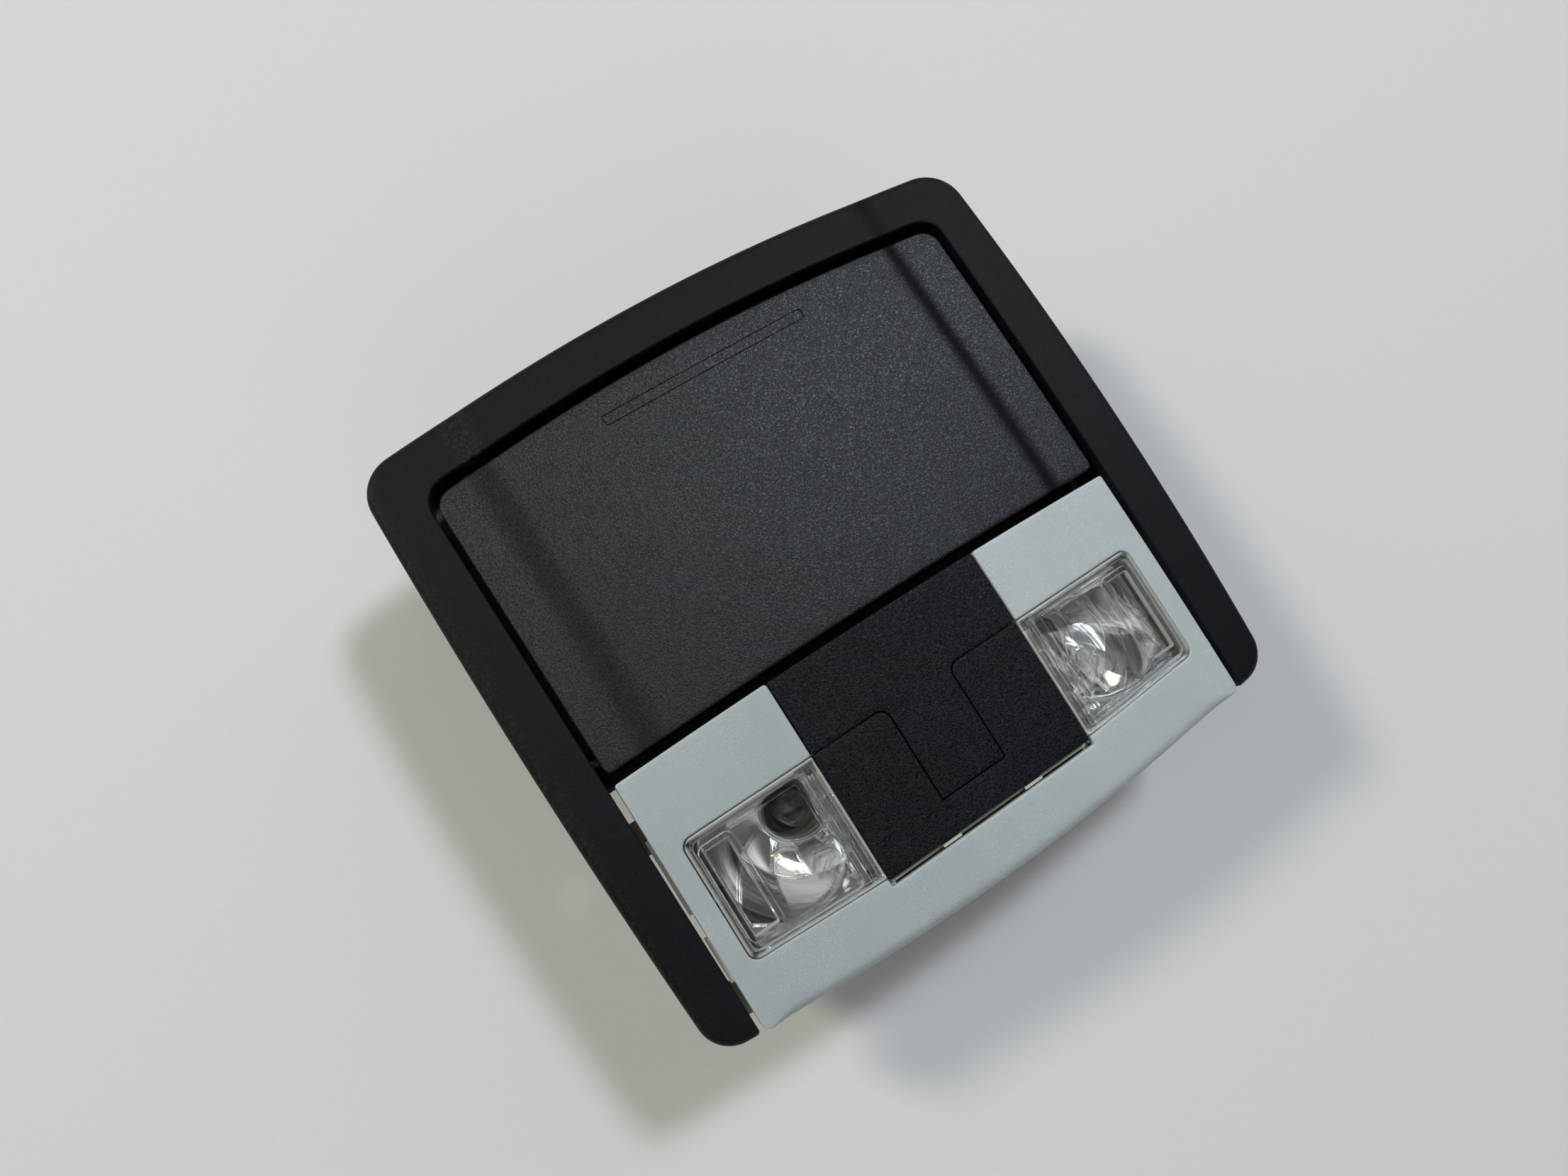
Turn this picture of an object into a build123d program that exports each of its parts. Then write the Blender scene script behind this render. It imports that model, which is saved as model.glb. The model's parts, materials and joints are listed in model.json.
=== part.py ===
from build123d import *
import math
import os

# Car overhead console light. Millimetres. The visible face looks along +Z, the glasses bin lies towards
# +Y and the lamps towards -Y. The roof plane that the rim rests on is Z = 0, under the outline's middle.

# Domed face that every visible piece shares
face_top = 8.3
face_peak_y = 9.0
face_radius = 1300.0
crown_half = 67.0
crown_drop = 1.9
crease_blend = 60.0

# Outline of the whole face
half_width = 98.6
widest_y = 25.0
outline_top = 95.0
outline_bottom = -94.2
top_half = 97.9
top_sag = 6.4
bottom_half = 95.6
bottom_sag = 5.7
top_corner_radius = 12.0
bottom_corner_radius = 10.0

# Bezel frame
face_wall = 2.2
rim_round = 2.4
opening_low_half = 83.2
opening_high_half = 84.9
opening_top = 81.0
opening_sag = 4.8
opening_corner_radius = 7.5
skirt_depth = 8.0
beam_rear = -17.3
beam_front = -7.0
beam_thickness = 3.0

# Bin door, its hinge and the tray behind it
door_recess = 1.4
door_side_gap = 1.8
door_top_gap = 2.7
door_bottom = -12.1
door_bottom_sag = 1.2
door_corner_radius = 5.5
door_lower_radius = 1.6
door_edge_round = 0.7
mark_half = 33.2
mark_low = 67.3
mark_height = 3.5
mark_line = 0.45
mark_depth = 0.3
hinge_y = -8.5
hinge_z = 0.5
hinge_pin_radius = 1.5
ear_inner = 72.0
ear_thickness = 3.5
ear_radius = 4.0
tray_half = 73.0
tray_wall = 2.0
tray_rear = -3.0
tray_front_radius = 84.0
tray_floor_top = 0.5
tray_depth_front = 40.5
tray_depth_rear = 26.5
tray_frame_wall = 1.6
liner_thickness = 1.2
striker_width = 8.0
striker_thickness = 2.0
striker_centre_y = 73.2
striker_tip_z = -28.0

# Fixed bin housing and its latch
housing_half = 80.0
housing_rear = -5.0
housing_front = 80.0
housing_wall = 2.0
housing_depth_front = 56.0
housing_depth_rear = 38.0
housing_step_y = 30.0
housing_corner_radius = 14.0
housing_edge_radius = 5.0
housing_rib_pitch = 40.0
flange_thickness = 2.0
latch_width = 16.0
latch_depth = 8.6
latch_top_z = -29.5
latch_height = 20.5
plunger_width = 5.6
plunger_depth = 3.6
plunger_length = 13.0
plunger_stroke = 3.0
latch_spring_radius = 1.4
latch_spring_wire = 0.5
latch_spring_turns = 4

# Frosted dome lens and the openings in it
lens_half = 82.1
lens_top = -15.0
lens_top_sag = 1.5
lens_wall = 1.8
lens_skirt_z = -1.5
lens_roll = 3.4
panel_half = 34.4
panel_gap = 0.4
centre_half = panel_half + panel_gap
centre_bottom = -78.3
window_outer = 75.9
window_top = -37.8
window_bottom_inner = -76.0
window_bottom_outer = -73.9
window_radius = 3.0

# Clear map lenses, which tilt on their inboard edge
map_gap = 0.35
map_raise = 0.3
map_thickness = 2.0
map_border = 2.0
map_recess = 0.5
strip_width = 4.4
strip_step = 0.6
pocket_inner = 62.2
pocket_width = 10.0
pocket_top = -42.2
pocket_length = 27.0
pocket_radius = 3.0
pocket_ridge = 1.2
pocket_depth = 1.2
map_pivot_inset = 1.8
map_pivot_x = panel_half + map_pivot_inset
map_pivot_z = 1.0
map_pivot_radius = 1.0
map_lug_width = 2.6
map_lug_length = 2.6
prong_x = 74.3
prong_width = 1.8
prong_length = 5.0
prong_tip_z = -4.0
prong_y = -56.0

# Switch panel and dome rocker
panel_drop = 0.3
panel_wall = 2.2
panel_leg_play = 0.3
panel_leg_wall = 1.5
panel_leg_width = 8.0
panel_leg_low_z = -8.0
panel_leg_drop = 4.0
panel_split_y = -37.7
tongue_half = 10.5
tongue_end = -66.9
split_line = 0.35
rocker_bottom = -76.6
pad_corner_radius = 3.0
bridge_inset = 3.4
bridge_half = panel_half - bridge_inset
bridge_z = 1.0
bridge_thickness = 1.6
bridge_rib = 2.0
bridge_rib_inner = 14.0
rocker_pin_radius = 1.0
rocker_pin_z = -1.0
rocker_lug_width = 6.0
rocker_lug_length = 3.0
finger_x = 22.0
finger_radius = 2.0
finger_tip_z = -3.3

# Lamp housing
lamp_half = 79.2
lamp_top = -19.0
lamp_wall = 1.8
lamp_floor_z = -20.0
lamp_bottom_lift = 5.0
lens_seat = 0.5
bay_wall_inset = 0.8
bay_wall_x = panel_half - bay_wall_inset
bay_wall_upper = -37.2
bay_wall_lower = -77.0
centre_wall_top = 1.5
partition_drop = 4.2
side_tab_reach = 83.0
side_tab_top = 2.0
side_tab_spans = ((-55.0, -33.0), (-75.0, -62.0))
panel_tab_x = 14.0
panel_tab_width = 6.0
panel_tab_drop = 1.5

# Reflectors, bulbs and sockets
reflector_inset = 4.0
reflector_inner = panel_half + reflector_inset
reflector_outer = 72.0
reflector_top = -38.7
reflector_bottom = -75.2
reflector_wall = 1.2
reflector_drop = 4.6
reflector_corner = 3.0
ledge_inset = 0.7
ledge_inner = panel_half + ledge_inset
ledge_top = -42.0
ledge_bottom = -71.5
ledge_drop = 5.2
ledge_thickness = 0.9
dish_x = 57.3
dish_y = -50.4
dish_radius = 22.3
dish_floor_z = -15.0
dish_land_z = -0.6
map_bulb_inset = 9.6
map_bulb_x = panel_half + map_bulb_inset
map_bulb_y = -47.6
dome_bulb_x = 58.0
bulb_tip_z = -6.0
bulb_radius = 5.1
bulb_glass_length = 20.0
bulb_base_width = 9.4
bulb_base_thickness = 2.2
bulb_base_length = 6.8
bulb_hole_radius = 8.2
bulb_play = 0.2
socket_radius = 7.2
socket_flange_radius = 9.5
socket_flange_thickness = 2.0
socket_tail_radius = 6.6
socket_base = 1.6
socket_hole_play = 0.3

# Switches, board, connector and bus bars
board_inset = 3.4
board_half = panel_half - board_inset
board_rear = -75.0
board_front = -39.5
board_top_z = -8.0
board_thickness = 1.6
stake_inset = 3.0
stake_x = board_half - stake_inset
stake_radius = 2.5
stake_pin_radius = 1.0
dome_switch_side = 6.0
dome_switch_height = 3.6
dome_switch_button_radius = 1.7
dome_switch_button_z = -4.0
map_switch_side = 4.6
map_switch_top_z = -6.0
map_switch_height = 4.0
map_plunger_radius = 1.3
map_plunger_top_z = -4.3
map_plunger_length = 3.3
running_play = 0.05
connector_length = 26.0
connector_width = 13.0
connector_height = 13.0
connector_wall = 2.0
connector_base = 3.0
connector_pin = 1.0
connector_pin_length = 6.0
connector_pin_pitch = 3.5
connector_pin_count = 6
bus_bar_width = 4.0
bus_bar_thickness = 0.8
bus_bar_y = -34.0
bus_bar_end = 44.0

# Screws and roof clips
arm_x = 90.0
boss_radius = 3.2
bin_boss_y = (60.0, 10.0)
lamp_boss_y = (-32.0, -81.0)
screw_radius = 1.25
screw_head_radius = 2.9
screw_head_height = 2.0
screw_depth = 8.0
screw_hole_radius = 1.6
tab_half = 5.0
tower_x = 91.6
tower_y = (72.0, -60.0)
tower_length = 12.0
tower_thickness = 3.0
tower_depth = 16.0
clip_sheet = 0.6
clip_length = 9.0
clip_rise = 12.5
clip_spread = 1.6

os.makedirs("parts", exist_ok=True)

SIDES = (("left", -1), ("right", 1))
flange_z = -skirt_depth - flange_thickness
tray_floor_bottom = tray_floor_top - tray_wall
lamp_inner_floor_z = lamp_floor_z + lamp_wall
dome_bulb_y = (lamp_top - lamp_wall + bay_wall_upper + lamp_wall / 2) / 2
tall = face_top + 10.0


def write(piece, label):
    piece.part.label = label
    export_step(piece.part, f"parts/{label}.step")


def below_face(drop):
    """The space under the domed face, lowered by drop."""
    sweep = 6.0
    reach = half_width * 1.3
    depth = 80.0
    crest = face_radius - drop
    wing = crest - crown_drop
    tilt = math.radians(sweep)
    centre = (0, face_peak_y, face_top - face_radius)
    start = Plane(origin=centre, x_dir=(1, 0, 0), z_dir=(0, -math.cos(tilt), -math.sin(tilt)))
    with BuildPart() as body:
        with BuildSketch(start) as section:
            with BuildLine():
                ThreePointArc((-crown_half, wing), (0, crest), (crown_half, wing))
                Polyline(
                    (crown_half, wing),
                    (reach, wing),
                    (reach, wing - depth),
                    (-reach, wing - depth),
                    (-reach, wing),
                    (-crown_half, wing),
                )
            make_face()
            creases = [v for v in section.vertices() if abs(abs(v.X) - crown_half) < 0.01]
            fillet(creases, crease_blend)
        revolve(axis=Axis(centre, (-1, 0, 0)), revolution_arc=2 * sweep)
    return body.part


def bottom_edge(x, lift=0.0):
    """Height of the curved lower outline at x, moved inwards by lift."""
    return outline_bottom + bottom_sag * (x / bottom_half) ** 2 + lift


def outline_face(inset=0.0):
    """The whole face's outline, drawn again further in for its walls."""
    top_x = top_half - inset
    low_x = bottom_half - inset
    wide_x = half_width - inset
    top = outline_top - top_sag * (top_x / top_half) ** 2 - inset
    low = bottom_edge(low_x, inset)
    with BuildSketch() as face:
        with BuildLine():
            ThreePointArc((-top_x, top), (0, outline_top - inset), (top_x, top))
            ThreePointArc((top_x, top), (wide_x, widest_y), (low_x, low))
            ThreePointArc((low_x, low), (0, outline_bottom + inset), (-low_x, low))
            ThreePointArc((-low_x, low), (-wide_x, widest_y), (-top_x, top))
        make_face()
        fillet(face.vertices().group_by(Axis.Y)[-1], top_corner_radius - inset)
        fillet(face.vertices().group_by(Axis.Y)[0], bottom_corner_radius - inset)
    return face.sketch


def opening_face(grow, top_grow=None):
    """The bezel's U-shaped opening, grown outwards, open past the lower outline."""
    top_shift = grow if top_grow is None else top_grow
    high = opening_high_half + grow
    low = opening_low_half + grow
    shoulder = opening_top - opening_sag + top_shift
    mouth = outline_bottom - 10.0
    with BuildSketch() as face:
        with BuildLine():
            ThreePointArc((-high, shoulder), (0, opening_top + top_shift), (high, shoulder))
            Polyline((high, shoulder), (low, mouth), (-low, mouth), (-high, shoulder))
        make_face()
        fillet(face.vertices().group_by(Axis.Y)[-1], opening_corner_radius + grow)
    return face.sketch


def rounded_box(low, high, radius, z_low, z_high):
    """A block between two plan corners with rounded upright edges."""
    with BuildPart() as block:
        with BuildSketch(Plane.XY.offset(z_low)):
            with Locations(((low[0] + high[0]) / 2, (low[1] + high[1]) / 2)):
                RectangleRounded(high[0] - low[0], high[1] - low[1], radius)
        extrude(amount=z_high - z_low)
    return block.part


def plain_box(low, high):
    """A block between two corners."""
    size = [b - a for a, b in zip(low, high)]
    middle = [(a + b) / 2 for a, b in zip(low, high)]
    with BuildPart() as block:
        with Locations(tuple(middle)):
            Box(*size)
    return block.part


def rod(start, end, radius):
    """A round bar between two points."""
    along = Vector(*end) - Vector(*start)
    with BuildPart() as bar:
        with BuildSketch(Plane(origin=start, z_dir=along)):
            Circle(radius)
        extrude(amount=along.length)
    return bar.part


under_face = below_face(0)
under_skin = below_face(face_wall)
under_boss = below_face(face_wall / 2)

# Bezel frame: rim, two arms, skirt round the opening, cross beam, screw bosses and clip towers
with BuildPart() as bezel_hollow:
    with BuildSketch(Plane.XY.offset(-0.5)):
        add(outline_face(face_wall))
        add(opening_face(face_wall), mode=Mode.SUBTRACT)
    extrude(amount=tall)
    add(under_skin, mode=Mode.INTERSECT)

with BuildPart() as bezel_posts:
    for _, side in SIDES:
        for y in bin_boss_y + lamp_boss_y:
            add(rod((side * arm_x, y, -skirt_depth), (side * arm_x, y, tall), boss_radius))
        for y in tower_y:
            add(
                plain_box(
                    (side * tower_x - tower_thickness / 2, y - tower_length / 2, -tower_depth),
                    (side * tower_x + tower_thickness / 2, y + tower_length / 2, tall),
                )
            )
    add(under_boss, mode=Mode.INTERSECT)

with BuildPart() as bezel_frame:
    with BuildSketch():
        add(outline_face())
    extrude(amount=tall)
    add(under_face, mode=Mode.INTERSECT)
    rim_sides = [f for f in bezel_frame.faces() if abs(f.normal_at().Z) < 0.1]
    rim_edges = [e for f in rim_sides for e in f.edges() if abs(e.tangent_at(0.5).Z) < 0.5]
    fillet([e for e in rim_edges if e.center().Z > face_wall / 2], rim_round)
    with BuildSketch(Plane.XY.offset(-1)):
        add(opening_face(0))
    extrude(amount=tall, mode=Mode.SUBTRACT)
    add(bezel_hollow.part, mode=Mode.SUBTRACT)
    with BuildSketch(Plane.XY.offset(-skirt_depth)):
        add(opening_face(face_wall))
        add(outline_face(face_wall / 2), mode=Mode.INTERSECT)
        add(opening_face(0), mode=Mode.SUBTRACT)
    extrude(amount=skirt_depth + 0.5)
    add(
        plain_box(
            (-opening_low_half - face_wall, beam_rear, -skirt_depth),
            (opening_low_half + face_wall, beam_front, beam_thickness - skirt_depth),
        )
    )
    add(bezel_posts.part)
    for _, side in SIDES:
        for y in bin_boss_y + lamp_boss_y:
            seat = (side * arm_x, y, -skirt_depth - 1)
            end = (side * arm_x, y, screw_depth - skirt_depth)
            add(rod(seat, end, screw_radius), mode=Mode.SUBTRACT)
        pin_start = (side * ear_inner, hinge_y, hinge_z)
        pin_end = (side * (opening_high_half + 2 * face_wall), hinge_y, hinge_z)
        add(rod(pin_start, pin_end, hinge_pin_radius), mode=Mode.SUBTRACT)
write(bezel_frame, "bezel_frame")

# Hinge pins, pressed into the skirt and running in the door's ears
pin_outer = opening_low_half + face_wall + 0.3
with BuildPart() as hinge_pins:
    for _, side in SIDES:
        add(rod((side * ear_inner, hinge_y, hinge_z), (side * pin_outer, hinge_y, hinge_z), hinge_pin_radius))
write(hinge_pins, "hinge_pins")

# Bin door: grained skin, frame that seats the tray, hinge ears and the push mark
under_door = below_face(door_recess)
under_door_skin = below_face(door_recess + face_wall)
door_top = opening_top - door_top_gap
door_plan_bottom = door_bottom - door_bottom_sag

with BuildPart() as door_frame:
    with BuildSketch(Plane.XY.offset(tray_floor_top)):
        front = hinge_y + tray_front_radius - 4.0
        middle = (tray_rear + front) / 2
        with Locations((0, middle)):
            Rectangle(2 * tray_half - 4, front - tray_rear)
        offset(amount=-tray_frame_wall, mode=Mode.SUBTRACT)
    extrude(amount=tall)
    for _, side in SIDES:
        face_x = side * (ear_inner if side > 0 else ear_inner + ear_thickness)
        with BuildSketch(Plane.YZ.offset(face_x)):
            with Locations((hinge_y, hinge_z)):
                Circle(ear_radius)
                Rectangle(2 * ear_radius, tall, align=(Align.CENTER, Align.MIN))
        extrude(amount=ear_thickness)
    add(below_face(door_recess + face_wall / 2), mode=Mode.INTERSECT)

with BuildPart() as push_mark:
    with BuildSketch():
        with Locations((0, mark_low + mark_height / 2)):
            Rectangle(2 * mark_half, mark_height)
            Rectangle(2 * mark_half - 2 * mark_line, mark_height - 2 * mark_line, mode=Mode.SUBTRACT)
    extrude(amount=tall)
    add(below_face(door_recess + mark_depth), mode=Mode.SUBTRACT)

with BuildPart() as bin_door:
    with BuildSketch(Plane.XY.offset(-1)) as door_plan:
        add(opening_face(-door_side_gap, -door_top_gap))
        with BuildSketch(mode=Mode.INTERSECT):
            with BuildLine():
                side_x = opening_high_half
                ThreePointArc((-side_x, door_plan_bottom), (0, door_bottom), (side_x, door_plan_bottom))
                Polyline(
                    (side_x, door_plan_bottom),
                    (side_x, outline_top),
                    (-side_x, outline_top),
                    (-side_x, door_plan_bottom),
                )
            make_face()
        fillet(door_plan.vertices().group_by(Axis.Y)[0], door_lower_radius)
    extrude(amount=tall)
    add(under_door, mode=Mode.INTERSECT)
    door_sides = [f for f in bin_door.faces() if abs(f.normal_at().Z) < 0.1]
    door_edges = [e for f in door_sides for e in f.edges() if abs(e.tangent_at(0.5).Z) < 0.5]
    fillet([e for e in door_edges if e.center().Z > 1], door_edge_round)
    add(under_door_skin, mode=Mode.SUBTRACT)
    add(push_mark.part, mode=Mode.SUBTRACT)
    add(door_frame.part)
    for _, side in SIDES:
        bore_start = (side * (ear_inner - 1), hinge_y, hinge_z)
        bore_end = (side * (ear_inner + ear_thickness + 1), hinge_y, hinge_z)
        add(rod(bore_start, bore_end, hinge_pin_radius + running_play), mode=Mode.SUBTRACT)
write(bin_door, "bin_door")


def tray_profile(inset, floor_z, drop):
    """Side view of the tray between its rear wall and its front wall, which is round the hinge."""
    radius = tray_front_radius - inset
    front_low = hinge_z - tray_depth_front - drop
    rear_low = hinge_z - tray_depth_rear - drop

    def front_y(z):
        return hinge_y + math.sqrt(radius**2 - (z - hinge_z) ** 2)

    middle_z = (floor_z + front_low) / 2
    with BuildSketch(Plane.YZ) as profile:
        with BuildLine():
            top = (front_y(floor_z), floor_z)
            low = (front_y(front_low), front_low)
            ThreePointArc(top, (front_y(middle_z), middle_z), low)
            Polyline(low, (tray_rear + inset, rear_low), (tray_rear + inset, floor_z), top)
        make_face()
    return profile.sketch


# Bin tray: open bucket behind the door, with the striker on its front wall
striker_root_z = striker_tip_z + 14.0
with BuildPart() as bin_tray:
    extrude(tray_profile(0, tray_floor_top, 0), amount=tray_half, both=True)
    fillet(bin_tray.edges().filter_by(Axis.Z), tray_wall)
    hollow_half = tray_half - tray_wall
    hollow_profile = tray_profile(tray_wall, tray_floor_bottom, 20.0)
    extrude(hollow_profile, amount=hollow_half, both=True, mode=Mode.SUBTRACT)
    add(
        plain_box(
            (-striker_width / 2, striker_centre_y - striker_thickness / 2, striker_tip_z),
            (striker_width / 2, striker_centre_y + striker_thickness / 2, striker_root_z),
        )
    )
write(bin_tray, "bin_tray")

# Felt liner on the tray's floor
with BuildPart() as bin_liner:
    liner_front = hinge_y + tray_front_radius - 2 * tray_wall - 2.0
    add(
        rounded_box(
            (-tray_half + tray_wall + 0.3, tray_rear + tray_wall + 0.3),
            (tray_half - tray_wall - 0.3, liner_front),
            4.0,
            tray_floor_bottom - liner_thickness,
            tray_floor_bottom,
        )
    )
write(bin_liner, "bin_liner")


def housing_solid(grow):
    """Bin housing block, grown by its wall, up to the skirt's lower edge."""
    with BuildPart() as block:
        with BuildSketch(Plane.YZ):
            with BuildLine():
                Polyline(
                    (housing_rear - grow, -skirt_depth),
                    (housing_front + grow, -skirt_depth),
                    (housing_front + grow, -housing_depth_front - grow),
                    (housing_step_y, -housing_depth_front - grow),
                    (housing_rear - grow, -housing_depth_rear - grow),
                    close=True,
                )
            make_face()
        extrude(amount=housing_half + grow, both=True)
        fillet(block.edges().filter_by(Axis.Z).group_by(Axis.Y)[-1], housing_corner_radius + grow)
        fillet(block.edges().filter_by(Axis.Z).group_by(Axis.Y)[0], housing_edge_radius + grow)
        low_face = block.faces().sort_by(Axis.Z)[0]
        fillet(low_face.edges().sort_by(Axis.Y)[1:], housing_edge_radius + grow)
    return block.part


# Bin housing: deep fixed bucket with a flange under the bezel's skirt
with BuildPart() as bin_housing:
    add(housing_solid(housing_wall))
    with BuildSketch(Plane.XY.offset(flange_z)):
        add(opening_face(face_wall))
        with Locations((0, (beam_front - 5.0 + outline_top) / 2)):
            Rectangle(4 * half_width, outline_top - beam_front + 5.0, mode=Mode.INTERSECT)
        for y in bin_boss_y:
            with Locations((0, y)):
                RectangleRounded(2 * (arm_x + tab_half), 2 * tab_half, 3.0)
    extrude(amount=flange_thickness)
    add(housing_solid(0), mode=Mode.SUBTRACT)
    for _, side in SIDES:
        for y in bin_boss_y:
            hole = (side * arm_x, y, flange_z - 1)
            add(rod(hole, (side * arm_x, y, -skirt_depth + 1), screw_hole_radius), mode=Mode.SUBTRACT)
    for x in (-housing_rib_pitch, 0.0, housing_rib_pitch):
        rib = plain_box(
            (x - 1.0, housing_step_y, -housing_depth_front - housing_wall - 2.0),
            (x + 1.0, housing_front - housing_edge_radius, -housing_depth_front - housing_wall),
        )
        add(rib)
write(bin_housing, "bin_housing")

# Push latch: body on the housing's front wall, sprung plunger under the striker
latch_low_z = latch_top_z - latch_height
plunger_top_z = striker_tip_z - 0.3
plunger_low_z = plunger_top_z - plunger_length
latch_play = 0.1
pocket_half = plunger_depth / 2 + latch_play
pocket_low_z = plunger_low_z - plunger_stroke - latch_spring_wire * (latch_spring_turns + 1.5)
with BuildPart() as latch_body:
    add(
        plain_box(
            (-latch_width / 2, housing_front - latch_depth, min(latch_low_z, pocket_low_z - 1.5)),
            (latch_width / 2, housing_front, latch_top_z),
        )
    )
    add(
        plain_box(
            (-plunger_width / 2 - latch_play, striker_centre_y - pocket_half, pocket_low_z),
            (plunger_width / 2 + latch_play, striker_centre_y + pocket_half, latch_top_z + 1),
        ),
        mode=Mode.SUBTRACT,
    )
write(latch_body, "latch_body")

with BuildPart() as latch_plunger:
    add(
        plain_box(
            (-plunger_width / 2, striker_centre_y - plunger_depth / 2, plunger_low_z),
            (plunger_width / 2, striker_centre_y + plunger_depth / 2, plunger_top_z),
        )
    )
    chamfer(latch_plunger.faces().sort_by(Axis.Z)[-1].edges(), 0.5)
write(latch_plunger, "latch_plunger")

spring_length = plunger_low_z - pocket_low_z - latch_spring_wire - 0.2
spring_start = (0, striker_centre_y, pocket_low_z + latch_spring_wire / 2 + 0.1)
with BuildPart() as latch_spring:
    with BuildLine():
        pitch = spring_length / latch_spring_turns
        coil = Helix(pitch, spring_length, latch_spring_radius, center=spring_start)
    with BuildSketch(Plane(origin=coil @ 0, z_dir=coil % 0)):
        Circle(latch_spring_wire / 2)
    sweep(is_frenet=True)
write(latch_spring, "latch_spring")


def window_face(side, inset):
    """Plan of one map lamp window, from the switch panel's side outwards."""
    inner = side * (centre_half - 1.0 if inset == 0 else panel_half + inset)
    outer = side * (window_outer - inset)
    top = window_top - inset
    with BuildSketch() as face:
        with BuildLine():
            Polyline(
                (inner, top),
                (outer, top),
                (outer, window_bottom_outer + inset),
                (inner, window_bottom_inner + inset),
                close=True,
            )
        make_face()
        outboard = face.vertices().sort_by(Axis.X)[::side][-2:]
        fillet(outboard, window_radius)
    return face.sketch


def lens_plan(inset):
    """Plan of the frosted lens without its openings."""
    half = lens_half - inset
    top = lens_top - lens_top_sag
    low = bottom_edge(half, inset)
    with BuildSketch() as face:
        with BuildLine():
            ThreePointArc((-half, top - inset), (0, lens_top - inset), (half, top - inset))
            Line((half, top - inset), (half, low))
            ThreePointArc((half, low), (0, bottom_edge(0, inset)), (-half, low))
            Line((-half, low), (-half, top - inset))
        make_face()
    return face.sketch


# Frosted dome lens: one moulding round both lamps, rolled over at its lower edge
with BuildPart() as lens_hollow:
    with BuildSketch(Plane.XY.offset(lens_skirt_z - 0.5)):
        add(lens_plan(lens_wall))
    extrude(amount=tall)
    add(under_skin, mode=Mode.INTERSECT)

with BuildPart() as frosted_lens:
    with BuildSketch(Plane.XY.offset(lens_skirt_z)):
        add(lens_plan(0))
    extrude(amount=tall)
    add(under_face, mode=Mode.INTERSECT)
    low_wall = frosted_lens.faces().sort_by(Axis.Y)[0]
    low_edges = [e for e in low_wall.edges() if abs(e.tangent_at(0.5).Z) < 0.5]
    fillet([e for e in low_edges if e.center().Z > 0], lens_roll)
    with BuildSketch(Plane.XY.offset(lens_skirt_z - 1)):
        with Locations((0, (centre_bottom + outline_top) / 2)):
            Rectangle(2 * centre_half, outline_top - centre_bottom)
        for _, side in SIDES:
            add(window_face(side, 0))
    extrude(amount=2 * tall, mode=Mode.SUBTRACT)
    add(lens_hollow.part, mode=Mode.SUBTRACT)
    for low, high in side_tab_spans:
        notch = plain_box(
            (-lens_half - 1, low - 0.5, lens_skirt_z - 1),
            (lens_half + 1, high + 0.5, side_tab_top + 0.4),
        )
        add(notch, mode=Mode.SUBTRACT)
write(frosted_lens, "frosted_lens")

# Clear map lenses: raised border, finger pocket with a ridge, lower strip beside the panel
map_top = below_face(-map_raise)
map_bottom = below_face(map_thickness - map_raise)
above_recess = below_face(map_recess - map_raise)
above_pocket = below_face(pocket_depth - map_raise)
above_strip = below_face(strip_step - map_raise)


def pocket_face(side, grow):
    with BuildSketch() as face:
        with Locations((side * (pocket_inner + pocket_width / 2), pocket_top - pocket_length / 2)):
            RectangleRounded(pocket_width + 2 * grow, pocket_length + 2 * grow, pocket_radius + grow)
    return face.sketch


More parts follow.
